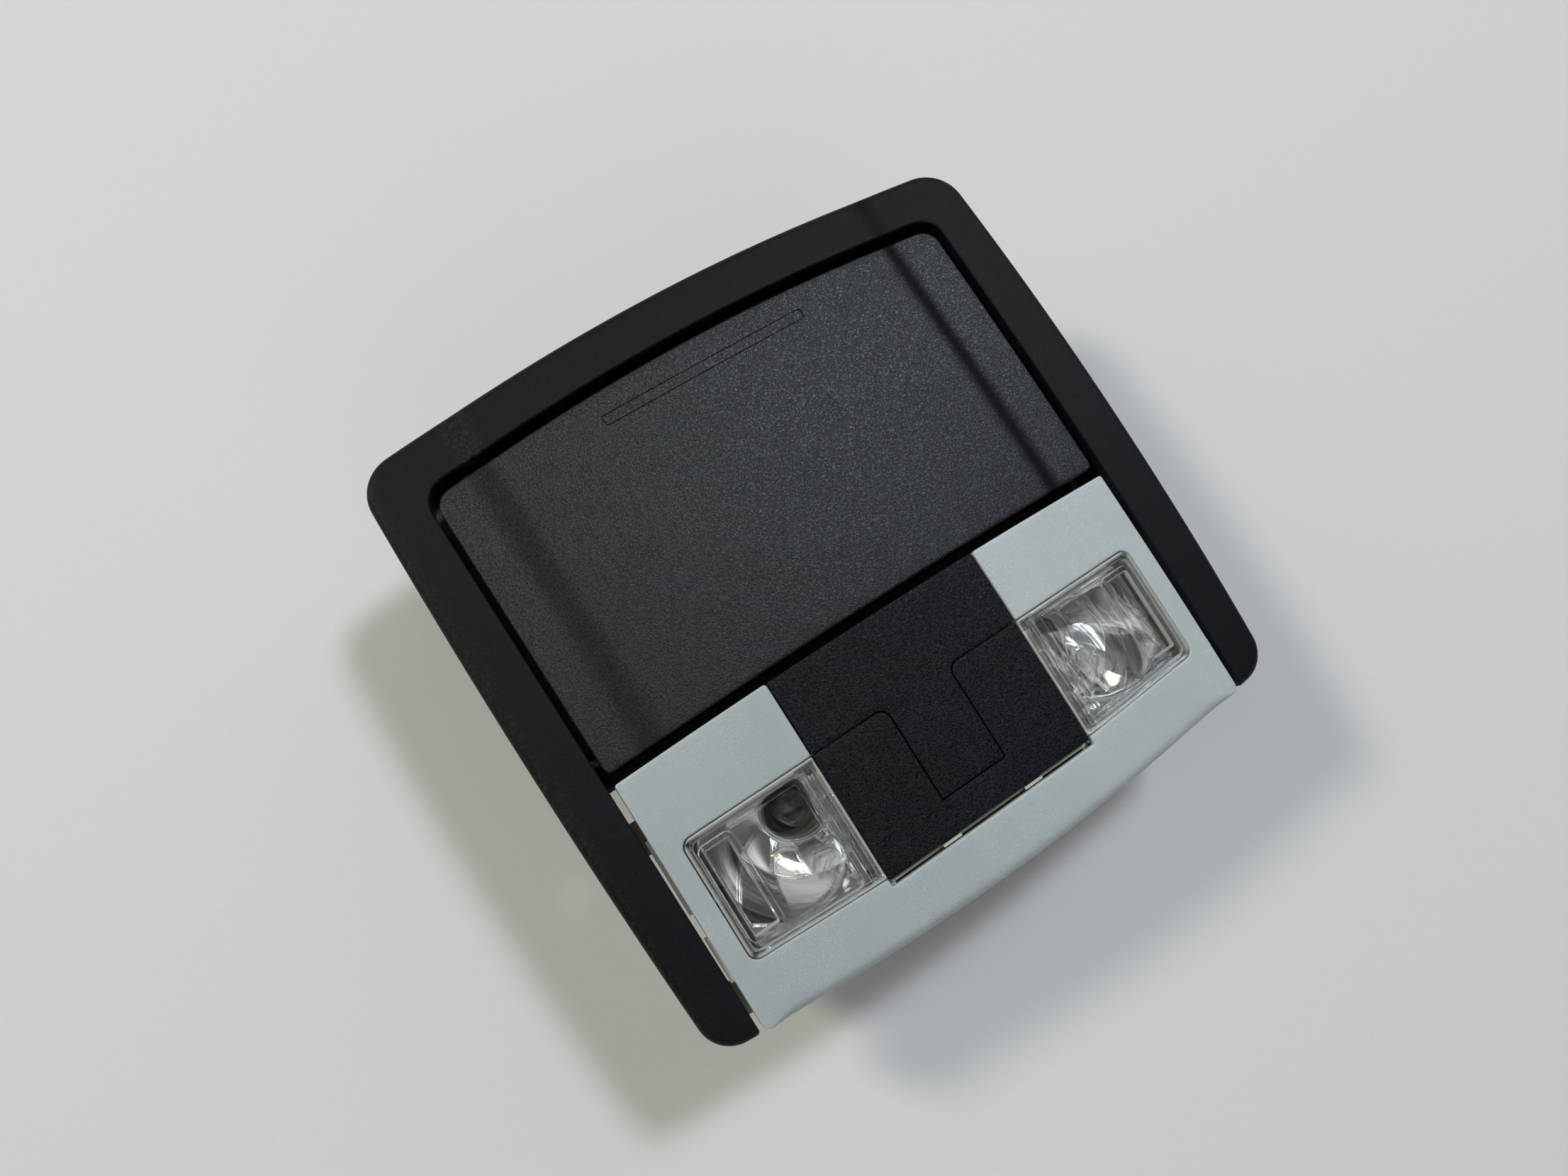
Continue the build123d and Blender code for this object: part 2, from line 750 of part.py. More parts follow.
for name, side in SIDES:
    strip_edge = side * (panel_half + strip_width)
    with BuildPart() as recess_tool:
        with BuildSketch() as recess_plan:
            add(offset(window_face(side, map_gap), amount=-map_border, mode=Mode.PRIVATE))
            with Locations((strip_edge + side * (map_border / 2 + half_width), 0)):
                Rectangle(2 * half_width, 4 * half_width, mode=Mode.INTERSECT)
            add(pocket_face(side, pocket_ridge), mode=Mode.SUBTRACT)
        extrude(amount=tall)
        add(above_recess, mode=Mode.SUBTRACT)
    with BuildPart() as pocket_tool:
        with BuildSketch():
            add(pocket_face(side, 0))
        extrude(amount=tall)
        add(above_pocket, mode=Mode.SUBTRACT)
    with BuildPart() as strip_tool:
        with BuildSketch():
            with Locations((strip_edge - side * half_width, 0)):
                Rectangle(2 * half_width, 4 * half_width)
        extrude(amount=tall)
        add(above_strip, mode=Mode.SUBTRACT)
    lug_x = side * map_pivot_x
    lug_top = window_top - map_gap
    lug_low = window_bottom_inner + map_gap
    with BuildPart() as lens_legs:
        for y in (lug_top - map_lug_length, lug_low + 0.3):
            add(
                plain_box(
                    (lug_x - map_lug_width / 2, y, map_pivot_z - map_lug_width / 2),
                    (lug_x + map_lug_width / 2, y + map_lug_length, tall),
                )
            )
        add(
            plain_box(
                (side * prong_x - prong_width / 2, prong_y - prong_length / 2, prong_tip_z),
                (side * prong_x + prong_width / 2, prong_y + prong_length / 2, tall),
            )
        )
        add(below_face(map_thickness / 2 - map_raise), mode=Mode.INTERSECT)
    with BuildPart() as map_lens:
        with BuildSketch():
            add(window_face(side, map_gap))
        extrude(amount=tall)
        add(map_top, mode=Mode.INTERSECT)
        add(map_bottom, mode=Mode.SUBTRACT)
        add(recess_tool.part, mode=Mode.SUBTRACT)
        add(pocket_tool.part, mode=Mode.SUBTRACT)
        add(strip_tool.part, mode=Mode.SUBTRACT)
        add(lens_legs.part)
        stub = lamp_wall * 0.75
        upper_start = (lug_x, lug_top - map_lug_length / 2, map_pivot_z)
        upper_end = (lug_x, bay_wall_upper - lamp_wall / 2 + stub, map_pivot_z)
        add(rod(upper_start, upper_end, map_pivot_radius))
        lower_start = (lug_x, lug_low + map_lug_length / 2, map_pivot_z)
        lower_end = (lug_x, bay_wall_lower + lamp_wall / 2 - stub, map_pivot_z)
        add(rod(lower_start, lower_end, map_pivot_radius))
    write(map_lens, f"map_lens_{name}")

# Switch panel: T-shaped skin with its tongue and snap legs
under_panel = below_face(panel_drop)
under_panel_skin = below_face(panel_drop + panel_wall)
leg_x = bay_wall_x - lamp_wall / 2 - panel_leg_play
leg_top = lamp_top - lamp_wall - panel_leg_drop
with BuildPart() as panel_legs:
    for _, side in SIDES:
        legs = plain_box(
            (min(side * leg_x, side * (leg_x - panel_leg_wall)), leg_top - panel_leg_width, panel_leg_low_z),
            (max(side * leg_x, side * (leg_x - panel_leg_wall)), leg_top, tall),
        )
        add(legs)
    add(below_face(panel_drop + panel_wall / 2), mode=Mode.INTERSECT)

with BuildPart() as switch_panel:
    with BuildSketch():
        with BuildLine():
            panel_top = lens_top - lens_top_sag * (panel_half / lens_half) ** 2
            ThreePointArc((-panel_half, panel_top), (0, lens_top), (panel_half, panel_top))
            Polyline(
                (panel_half, panel_top),
                (panel_half, panel_split_y),
                (tongue_half, panel_split_y),
                (tongue_half, tongue_end),
                (-tongue_half, tongue_end),
                (-tongue_half, panel_split_y),
                (-panel_half, panel_split_y),
                (-panel_half, panel_top),
            )
        make_face()
    extrude(amount=tall)
    add(under_panel, mode=Mode.INTERSECT)
    add(under_panel_skin, mode=Mode.SUBTRACT)
    add(panel_legs.part)
write(switch_panel, "switch_panel")

# Dome rocker: two pads and a cross strip round the tongue, on a bridge that tips on its pin
with BuildPart() as rocker_frame:
    pads_top = panel_split_y - split_line
    for _, side in SIDES:
        for inner in (bridge_rib_inner, bridge_half - bridge_rib):
            low_x = min(side * inner, side * (inner + bridge_rib))
            rib = plain_box(
                (low_x, rocker_bottom + 2.0, bridge_z), (low_x + bridge_rib, pads_top - 2.0, tall)
            )
            add(rib)
    add(below_face(panel_drop + panel_wall / 2), mode=Mode.INTERSECT)
    add(
        plain_box(
            (-bridge_half, rocker_bottom + 2.0, bridge_z),
            (bridge_half, pads_top - 2.0, bridge_z + bridge_thickness),
        )
    )
    for y in (rocker_bottom + 2.0, pads_top - 2.0 - rocker_lug_length):
        add(
            plain_box(
                (-rocker_lug_width / 2, y, rocker_pin_z - 2 * rocker_pin_radius),
                (rocker_lug_width / 2, y + rocker_lug_length, bridge_z),
            )
        )
    for _, side in SIDES:
        finger_tip = (side * finger_x, prong_y, finger_tip_z)
        add(rod(finger_tip, (side * finger_x, prong_y, bridge_z), finger_radius))

with BuildPart() as dome_rocker:
    with BuildSketch() as pads:
        with Locations((0, (rocker_bottom + pads_top) / 2)):
            Rectangle(2 * panel_half - 2 * 0.05, pads_top - rocker_bottom)
        slot_half = tongue_half + split_line
        slot_end = tongue_end - split_line
        with Locations((0, (slot_end + outline_top) / 2)):
            Rectangle(2 * slot_half, outline_top - slot_end, mode=Mode.SUBTRACT)
        inner_tops = pads.vertices().group_by(Axis.Y)[-1].sort_by(lambda v: abs(v.X))[:2]
        fillet(inner_tops, pad_corner_radius)
    extrude(amount=tall)
    add(under_panel, mode=Mode.INTERSECT)
    add(under_panel_skin, mode=Mode.SUBTRACT)
    add(rocker_frame.part)
    pin_line = ((0, rocker_bottom - 5, rocker_pin_z), (0, pads_top + 5, rocker_pin_z))
    add(rod(*pin_line, rocker_pin_radius + running_play), mode=Mode.SUBTRACT)
write(dome_rocker, "dome_rocker")

with BuildPart() as rocker_pin:
    pin_low = (0, bay_wall_lower - lamp_wall / 2, rocker_pin_z)
    add(rod(pin_low, (0, bay_wall_upper + lamp_wall / 2, rocker_pin_z), rocker_pin_radius))
write(rocker_pin, "rocker_pin")


def lamp_plan(inset):
    """Plan of the lamp housing between the beam and the lens's lower edge."""
    half = lamp_half - inset
    low = bottom_edge(half, lamp_bottom_lift + inset)
    with BuildSketch() as face:
        with BuildLine():
            Polyline((half, low), (half, lamp_top - inset), (-half, lamp_top - inset), (-half, low))
            ThreePointArc((-half, low), (0, bottom_edge(0, lamp_bottom_lift + inset)), (half, low))
        make_face()
    return face.sketch


# Lamp housing: pale tray with a bay for each lamp and for the switches
socket_hole_radius = socket_radius + socket_hole_play
post_top_z = map_switch_top_z - map_switch_height
stake_y = (board_rear + stake_inset, board_front - stake_inset)
with BuildPart() as housing_walls:
    with BuildSketch(Plane.XY.offset(lamp_floor_z)):
        add(lamp_plan(0))
        add(lamp_plan(lamp_wall), mode=Mode.SUBTRACT)
        for _, side in SIDES:
            bay_inner = bay_wall_x + lamp_wall / 2 - 0.05
            bay_outer = lamp_half - lamp_wall / 2
            for y in (bay_wall_upper, bay_wall_lower):
                with Locations((side * (bay_inner + bay_outer) / 2, y)):
                    Rectangle(bay_outer - bay_inner, lamp_wall)
    extrude(amount=2 * tall - lamp_floor_z)
    add(below_face(face_wall + lens_seat), mode=Mode.INTERSECT)

with BuildPart() as housing_partitions:
    for _, side in SIDES:
        span_low = bottom_edge(bay_wall_x, lamp_bottom_lift + lamp_wall / 2)
        add(
            plain_box(
                (side * bay_wall_x - lamp_wall / 2, span_low, lamp_floor_z),
                (side * bay_wall_x + lamp_wall / 2, lamp_top - lamp_wall / 2, tall),
            )
        )
    add(below_face(partition_drop), mode=Mode.INTERSECT)
    for y in (bay_wall_upper, bay_wall_lower):
        add(
            plain_box(
                (-bay_wall_x, y - lamp_wall / 2, lamp_floor_z),
                (bay_wall_x, y + lamp_wall / 2, centre_wall_top),
            )
        )

with BuildPart() as panel_tabs:
    for _, side in SIDES:
        tab_x = side * panel_tab_x
        add(
            plain_box(
                (tab_x - panel_tab_width / 2, bay_wall_lower - lamp_wall / 2, centre_wall_top - 1),
                (tab_x + panel_tab_width / 2, bay_wall_lower - 0.1, tall),
            )
        )
    add(below_face(panel_tab_drop), mode=Mode.INTERSECT)

with BuildPart() as lamp_housing:
    with BuildSketch(Plane.XY.offset(lamp_floor_z)):
        add(lamp_plan(0))
    extrude(amount=lamp_wall)
    add(housing_walls.part)
    add(housing_partitions.part)
    add(panel_tabs.part)
    for low, high in side_tab_spans:
        for _, side in SIDES:
            inner_x = side * (lamp_half - lamp_wall)
            outer_x = side * side_tab_reach
            tab = plain_box(
                (min(inner_x, outer_x), low, side_tab_top - 2.0), (max(inner_x, outer_x), high, side_tab_top)
            )
            add(tab)
    for _, side in SIDES:
        for y in lamp_boss_y:
            with BuildSketch(Plane.XY.offset(flange_z)):
                inner_x = lamp_half - lamp_wall
                outer_x = arm_x + tab_half
                with Locations((side * (inner_x + outer_x) / 2, y)):
                    Rectangle(outer_x - inner_x, 2 * tab_half)
            extrude(amount=flange_thickness)
            hole = (side * arm_x, y, flange_z - 1)
            add(rod(hole, (side * arm_x, y, 1 - skirt_depth), screw_hole_radius), mode=Mode.SUBTRACT)
        post_x = side * prong_x
        add(
            plain_box(
                (post_x - map_switch_side / 2, prong_y - map_switch_side / 2, lamp_inner_floor_z - 0.5),
                (post_x + map_switch_side / 2, prong_y + map_switch_side / 2, post_top_z),
            )
        )
        for y in stake_y:
            foot = (side * stake_x, y, lamp_inner_floor_z - 0.5)
            add(rod(foot, (side * stake_x, y, board_top_z - board_thickness), stake_radius))
            add(rod(foot, (side * stake_x, y, board_top_z + 0.6), stake_pin_radius))
        for x, y in ((map_bulb_x, map_bulb_y), (dome_bulb_x, dome_bulb_y)):
            low = (side * x, y, lamp_floor_z - 1)
            add(rod(low, (side * x, y, lamp_inner_floor_z + 1), socket_hole_radius), mode=Mode.SUBTRACT)
        for y in (bay_wall_upper, bay_wall_lower):
            pivot = (side * map_pivot_x, y - lamp_wall, map_pivot_z)
            end = (side * map_pivot_x, y + lamp_wall, map_pivot_z)
            add(rod(pivot, end, map_pivot_radius + running_play), mode=Mode.SUBTRACT)
    axle = ((0, bay_wall_lower - lamp_wall, rocker_pin_z), (0, bay_wall_upper + lamp_wall, rocker_pin_z))
    add(rod(*axle, rocker_pin_radius), mode=Mode.SUBTRACT)
write(lamp_housing, "lamp_housing")


def below_dish(side, drop):
    """The space under a reflector's round dish and the flat land round it, lowered by drop."""
    rise = dish_land_z - dish_floor_z
    with BuildPart() as body:
        with BuildSketch(Plane.XZ):
            with BuildLine():
                floor = (0, dish_floor_z - drop)
                rim = (dish_radius, dish_land_z - drop)
                half_way = (dish_radius / 2, dish_floor_z + rise * 0.25 - drop)
                ThreePointArc(floor, half_way, rim)
                Polyline(
                    rim,
                    (2 * dish_radius, rim[1]),
                    (2 * dish_radius, 2 * dish_floor_z),
                    (0, 2 * dish_floor_z),
                    floor,
                )
            make_face()
        revolve(axis=Axis.Z)
    return Pos(side * dish_x, dish_y, 0) * body.part


# Reflectors: square cups with a round dish, a hole for the bulb and a ledge under the lens's strip
under_reflector = below_face(reflector_drop)
under_ledge = below_face(ledge_drop)
under_ledge_skin = below_face(ledge_drop + ledge_thickness)
for name, side in SIDES:
    inner_x, outer_x = sorted((side * reflector_inner, side * reflector_outer))
    cup_low_z = 1.5 * dish_floor_z
    cup_low = (inner_x, reflector_bottom)
    cup = rounded_box(cup_low, (outer_x, reflector_top), reflector_corner, cup_low_z, tall)
    with BuildPart() as cup_space:
        add(
            rounded_box(
                (inner_x + reflector_wall, reflector_bottom + reflector_wall),
                (outer_x - reflector_wall, reflector_top - reflector_wall),
                reflector_corner - reflector_wall,
                cup_low_z,
                2 * tall,
            )
        )
        add(below_dish(side, 0), mode=Mode.SUBTRACT)
    bulb_at = (side * map_bulb_x, map_bulb_y)
    ledge_low_x, ledge_high_x = sorted((side * ledge_inner, side * (reflector_inner + reflector_wall / 2)))
    with BuildPart() as ledge:
        add(plain_box((ledge_low_x, ledge_bottom, dish_floor_z), (ledge_high_x, ledge_top, tall)))
        add(under_ledge, mode=Mode.INTERSECT)
        add(under_ledge_skin, mode=Mode.SUBTRACT)
    with BuildPart() as reflector:
        add(cup)
        add(under_reflector, mode=Mode.INTERSECT)
        add(below_dish(side, reflector_wall), mode=Mode.SUBTRACT)
        add(ledge.part)
        add(cup_space.part, mode=Mode.SUBTRACT)
        bulb_axis = ((*bulb_at, 2 * dish_floor_z), (*bulb_at, dish_land_z))
        add(rod(*bulb_axis, bulb_hole_radius), mode=Mode.SUBTRACT)
    write(reflector, f"reflector_{name}")

# Wedge bulbs and their sockets, two for the maps and two for the dome lens
bulb_shoulder_z = bulb_tip_z - bulb_glass_length
bulb_low_z = bulb_shoulder_z - bulb_base_length
socket_low_z = bulb_low_z - bulb_play - socket_base
for use, x, y in (("map", map_bulb_x, map_bulb_y), ("dome", dome_bulb_x, dome_bulb_y)):
    for name, side in SIDES:
        place = (side * x, y)
        with BuildPart() as bulb:
            with BuildSketch(Plane.XY.offset(bulb_shoulder_z)):
                with Locations(place):
                    Circle(bulb_radius)
            extrude(amount=bulb_glass_length)
            fillet(bulb.faces().sort_by(Axis.Z)[-1].edges(), bulb_radius * 0.8)
            fillet(bulb.faces().sort_by(Axis.Z)[0].edges(), bulb_radius * 0.2)
            add(
                plain_box(
                    (place[0] - bulb_base_width / 2, y - bulb_base_thickness / 2, bulb_low_z),
                    (place[0] + bulb_base_width / 2, y + bulb_base_thickness / 2, bulb_shoulder_z + 1),
                )
            )
        write(bulb, f"{use}_bulb_{name}")
        flange_top = lamp_floor_z
        with BuildPart() as socket:
            add(rod((*place, flange_top), (*place, flange_top + lamp_wall + 1.2), socket_radius))
            flange_low = flange_top - socket_flange_thickness
            add(rod((*place, flange_low), (*place, flange_top), socket_flange_radius))
            add(rod((*place, socket_low_z), (*place, flange_top), socket_tail_radius))
            well_low = bulb_shoulder_z - bulb_play
            well = rod((*place, well_low), (*place, flange_top + 10), bulb_radius + bulb_play)
            add(well, mode=Mode.SUBTRACT)
            slot_x = bulb_base_width / 2 + 0.1
            slot_y = bulb_base_thickness / 2 + 0.1
            slot = plain_box(
                (place[0] - slot_x, y - slot_y, bulb_low_z - bulb_play),
                (place[0] + slot_x, y + slot_y, bulb_shoulder_z),
            )
            add(slot, mode=Mode.SUBTRACT)
        write(socket, f"{use}_socket_{name}")

# Switch board with its four stakes' holes
with BuildPart() as switch_board:
    add(
        plain_box(
            (-board_half, board_rear, board_top_z - board_thickness), (board_half, board_front, board_top_z)
        )
    )
    for _, side in SIDES:
        for y in stake_y:
            low = (side * stake_x, y, board_top_z - board_thickness - 1)
            add(rod(low, (side * stake_x, y, board_top_z + 1), stake_pin_radius + 0.1), mode=Mode.SUBTRACT)
write(switch_board, "switch_board")

# Dome switches under the rocker's two fingers
with BuildPart() as dome_switches:
    for _, side in SIDES:
        half_side = dome_switch_side / 2
        middle_x = side * finger_x
        body_top = board_top_z + dome_switch_height
        add(
            plain_box(
                (middle_x - half_side, prong_y - half_side, board_top_z),
                (middle_x + half_side, prong_y + half_side, body_top),
            )
        )
        button = ((middle_x, prong_y, body_top - 1), (middle_x, prong_y, dome_switch_button_z))
        add(rod(*button, dome_switch_button_radius))
write(dome_switches, "dome_switches")

# Map switches: a body on a post and a plunger under each lens's prong
for name, side in SIDES:
    half_side = map_switch_side / 2
    middle_x = side * prong_x
    plunger_low = map_plunger_top_z - map_plunger_length
    with BuildPart() as map_switch:
        add(
            plain_box(
                (middle_x - half_side, prong_y - half_side, map_switch_top_z - map_switch_height),
                (middle_x + half_side, prong_y + half_side, map_switch_top_z),
            )
        )
        bore_low = (middle_x, prong_y, map_switch_top_z - map_switch_height + 0.6)
        bore_top = (middle_x, prong_y, map_switch_top_z + 1)
        add(rod(bore_low, bore_top, map_plunger_radius + running_play), mode=Mode.SUBTRACT)
    write(map_switch, f"map_switch_{name}")
    with BuildPart() as map_plunger:
        low = (middle_x, prong_y, plunger_low)
        add(rod(low, (middle_x, prong_y, map_plunger_top_z), map_plunger_radius))
    write(map_plunger, f"map_plunger_{name}")

# Connector inlet on the lamp housing's back, with its pins
connector_y = dome_bulb_y
connector_low_z = lamp_floor_z - connector_height
with BuildPart() as connector:
    add(
        rounded_box(
            (-connector_length / 2, connector_y - connector_width / 2),
            (connector_length / 2, connector_y + connector_width / 2),
            connector_wall,
            connector_low_z,
            lamp_floor_z,
        )
    )
    add(
        plain_box(
            (
                -connector_length / 2 + connector_wall,
                connector_y - connector_width / 2 + connector_wall,
                connector_low_z - 1,
            ),
            (
                connector_length / 2 - connector_wall,
                connector_y + connector_width / 2 - connector_wall,
                lamp_floor_z - connector_base,
            ),
        ),
        mode=Mode.SUBTRACT,
    )
write(connector, "connector")

with BuildPart() as connector_pins:
    pin_top_z = lamp_floor_z - connector_base
    with Locations((0, connector_y, pin_top_z - connector_pin_length / 2)):
        with GridLocations(connector_pin_pitch, 1, connector_pin_count, 1):
            Box(connector_pin, connector_pin, connector_pin_length)
write(connector_pins, "connector_pins")

# Bus bars from the connector to the sockets, flat on the housing's back
with BuildPart() as bus_bars:
    bar_start = connector_length / 2 + 0.4
    for _, side in SIDES:
        low_x, high_x = sorted((side * bar_start, side * bus_bar_end))
        add(
            plain_box(
                (low_x, bus_bar_y - bus_bar_width / 2, lamp_floor_z - bus_bar_thickness),
                (high_x, bus_bar_y + bus_bar_width / 2, lamp_floor_z),
            )
        )
write(bus_bars, "bus_bars")

# Case screws: one in each boss of the two arms
with BuildPart() as case_screws:
    for _, side in SIDES:
        for y in bin_boss_y + lamp_boss_y:
            head_low = (side * arm_x, y, flange_z - screw_head_height)
            add(rod(head_low, (side * arm_x, y, flange_z), screw_head_radius))
            shank_top = (side * arm_x, y, screw_depth - skirt_depth - 0.5)
            add(rod((side * arm_x, y, flange_z - 0.5), shank_top, screw_radius))
write(case_screws, "case_screws")

# Roof clips: folded spring sheet round each tower
clip_half = tower_thickness / 2 + 0.1 + clip_sheet / 2
clip_low = -tower_depth - 0.1 - clip_sheet / 2
with BuildPart() as roof_clips:
    for _, side in SIDES:
        for y in tower_y:
            fold = Plane(origin=(side * tower_x, y + clip_length / 2, 0), x_dir=(1, 0, 0), z_dir=(0, 1, 0))
            with BuildSketch(fold):
                with BuildLine():
                    Polyline(
                        (-clip_half - 0.9, -(clip_low + clip_rise + 1.5)),
                        (-clip_half - clip_spread, -(clip_low + clip_rise - 2.5)),
                        (-clip_half, -(clip_low + clip_sheet)),
                        (-clip_half, -clip_low),
                        (clip_half, -clip_low),
                        (clip_half, -(clip_low + clip_sheet)),
                        (clip_half + clip_spread, -(clip_low + clip_rise - 2.5)),
                        (clip_half + 0.9, -(clip_low + clip_rise + 1.5)),
                    )
                trace(line_width=clip_sheet)
            extrude(amount=-clip_length)
write(roof_clips, "roof_clips")
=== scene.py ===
# %% [markdown]
# # A car overhead console light
# The object is a roof console that lies face up: a black domed bezel, a glasses bin behind a grained
# door, one frosted lens, two clear map lamps and a black switch panel. The CAD parts come in as a fixed
# frame, and this script dresses each one with a finer skin and a finish of its own. Sizes are in
# millimetres until a mesh is made.

# %% The frame and its box
import json
import math
from functools import partial

import bmesh
import bpy
import numpy as np
from mathutils import Matrix, Vector
from mathutils.geometry import delaunay_2d_cdt


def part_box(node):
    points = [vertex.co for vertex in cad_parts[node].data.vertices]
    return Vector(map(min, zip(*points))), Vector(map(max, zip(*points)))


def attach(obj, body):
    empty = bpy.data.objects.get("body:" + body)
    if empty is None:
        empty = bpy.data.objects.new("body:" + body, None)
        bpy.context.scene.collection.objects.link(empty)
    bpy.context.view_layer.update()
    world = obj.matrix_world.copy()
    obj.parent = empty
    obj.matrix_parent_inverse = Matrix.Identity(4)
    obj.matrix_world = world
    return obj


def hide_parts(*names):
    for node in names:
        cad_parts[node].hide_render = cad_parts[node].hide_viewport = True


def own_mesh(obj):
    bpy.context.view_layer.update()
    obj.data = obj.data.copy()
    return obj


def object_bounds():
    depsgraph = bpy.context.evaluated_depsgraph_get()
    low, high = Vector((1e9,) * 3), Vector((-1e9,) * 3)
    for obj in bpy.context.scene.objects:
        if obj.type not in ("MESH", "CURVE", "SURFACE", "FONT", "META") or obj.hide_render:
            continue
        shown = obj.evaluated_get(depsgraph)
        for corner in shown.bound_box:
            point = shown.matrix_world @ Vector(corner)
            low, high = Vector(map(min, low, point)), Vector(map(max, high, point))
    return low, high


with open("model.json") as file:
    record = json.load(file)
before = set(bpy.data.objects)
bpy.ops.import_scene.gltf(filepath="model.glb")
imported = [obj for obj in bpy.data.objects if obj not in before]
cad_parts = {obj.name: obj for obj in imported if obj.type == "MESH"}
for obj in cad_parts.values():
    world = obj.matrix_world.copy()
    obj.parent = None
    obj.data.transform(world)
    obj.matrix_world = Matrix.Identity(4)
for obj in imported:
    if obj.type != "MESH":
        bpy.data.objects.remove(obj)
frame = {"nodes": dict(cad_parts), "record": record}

cad_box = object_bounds()
MM = 0.001
SIDES = (("left", -1), ("right", 1))

# %% [markdown]
# ## One domed face for every visible piece
# The real console is one gentle dome that the bezel, the door, the lenses and the switches all share. It
# falls away on a large radius from front to back, and from side to side it is a shallow crown with a soft
# crease near each edge. It could be modelled once and cut into pieces. As a formula, the same dome can be
# read at any point instead, so each skin can be as fine as it needs.

# %% The domed face as a formula
FACE_TOP, PEAK_Y, FACE_RADIUS = 8.3, 9.0, 1300.0
CROWN_HALF, CROWN_DROP, CREASE_BLEND = 67.0, 1.9, 60.0
CROWN_RADIUS = (CROWN_HALF**2 + CROWN_DROP**2) / (2 * CROWN_DROP)
CREASE_REACH = CREASE_BLEND * math.tan(math.asin(CROWN_HALF / CROWN_RADIUS) / 2)


def crown(x):
    """How far the face has dropped at x, with the crease blended."""
    start = CROWN_HALF - CREASE_REACH
    slope = start / math.sqrt(CROWN_RADIUS**2 - start**2)
    x = np.abs(x)
    arc_drop = CROWN_RADIUS - np.sqrt(CROWN_RADIUS**2 - np.minimum(x, start) ** 2)
    past = np.clip(x - start, 0, 2 * CREASE_REACH)
    return arc_drop + slope * past - slope * past**2 / (4 * CREASE_REACH)


def face(x, y, drop=0.0):
    """Height of the domed face, lowered by drop."""
    radius = FACE_RADIUS - drop - crown(x)
    return FACE_TOP - FACE_RADIUS + np.sqrt(radius**2 - (y - PEAK_Y) ** 2)


def sunk(drop):
    """The domed face at one drop, as a height of x and y that a helper can call."""
    return partial(face, drop=drop)


print("face height at the middle, an arm and the lower edge:",
      [round(float(face(x, y)), 2) for x, y in ((0, 9), (90, 0), (0, -94))])

# %% [markdown]
# ## Plan curves
# Every skin starts as an outline seen from above, made of long arcs and straight lines. Such paths could
# be drawn by hand as curves. Here they are points worked out from a few sizes, because a path of points is
# easily shortened, drawn in and laid on the dome.

# %% Lines and arcs
POINT_STEP = 1.5


def line(a, b, step=POINT_STEP):
    count = max(2, int(math.dist(a, b) / step) + 1)
    return np.linspace(a, b, count)


def closed_lines(corners, step=POINT_STEP):
    """Straight sides from corner to corner and back to the first."""
    return [line(a, b, step) for a, b in zip(corners, corners[1:] + corners[:1])]


def circle(x, y, radius, turn):
    """Points round a centre at the angles in turn."""
    return np.stack([x + radius * np.cos(turn), y + radius * np.sin(turn)], 1)


def arc(a, middle, b):
    """Points on the circle through three points."""
    (ax, ay), (mx, my), (bx, by) = a, middle, b
    d = 2 * (ax * (my - by) + mx * (by - ay) + bx * (ay - my))
    aa, mm, bb = ax * ax + ay * ay, mx * mx + my * my, bx * bx + by * by
    cx = (aa * (my - by) + mm * (by - ay) + bb * (ay - my)) / d
    cy = (aa * (bx - mx) + mm * (ax - bx) + bb * (mx - ax)) / d
    t0, tm, t1 = (math.atan2(q - cy, p - cx) for p, q in (a, middle, b))
    turn = (t1 - t0) % (2 * math.pi)
    if (tm - t0) % (2 * math.pi) > turn:
        turn -= 2 * math.pi
    radius = math.hypot(ax - cx, ay - cy)
    count = max(6, int(abs(turn) * radius / POINT_STEP) + 1)
    return circle(cx, cy, radius, t0 + np.linspace(0, turn, count))


def trim(path, start, end):
    """A path shortened by start and end lengths."""
    run = np.concatenate([[0], np.cumsum(np.linalg.norm(np.diff(path, axis=0), axis=1))])
    low, high = start, run[-1] - end
    keep = path[(run > low + 1e-6) & (run < high - 1e-6)]
    ends = [np.array([np.interp(at, run, path[:, k]) for k in (0, 1)]) for at in (low, high)]
    return np.vstack([ends[0], keep, ends[1]])


print("a quarter circle of radius 10 has", len(arc((10, 0), (7.071, 7.071), (0, 10))), "points")

# %% [markdown]
# ## Rounded outlines
# A moulded part has no sharp corners in plan. Each corner is a cubic curve between two trimmed sides, so
# that an arc and a line meet as smoothly as two lines do. Every point keeps a tag that says which side it
# is on, because the two sides of one outline often have different edges.

# %% Rounded outlines
def unit(v):
    return v / max(np.linalg.norm(v), 1e-9)


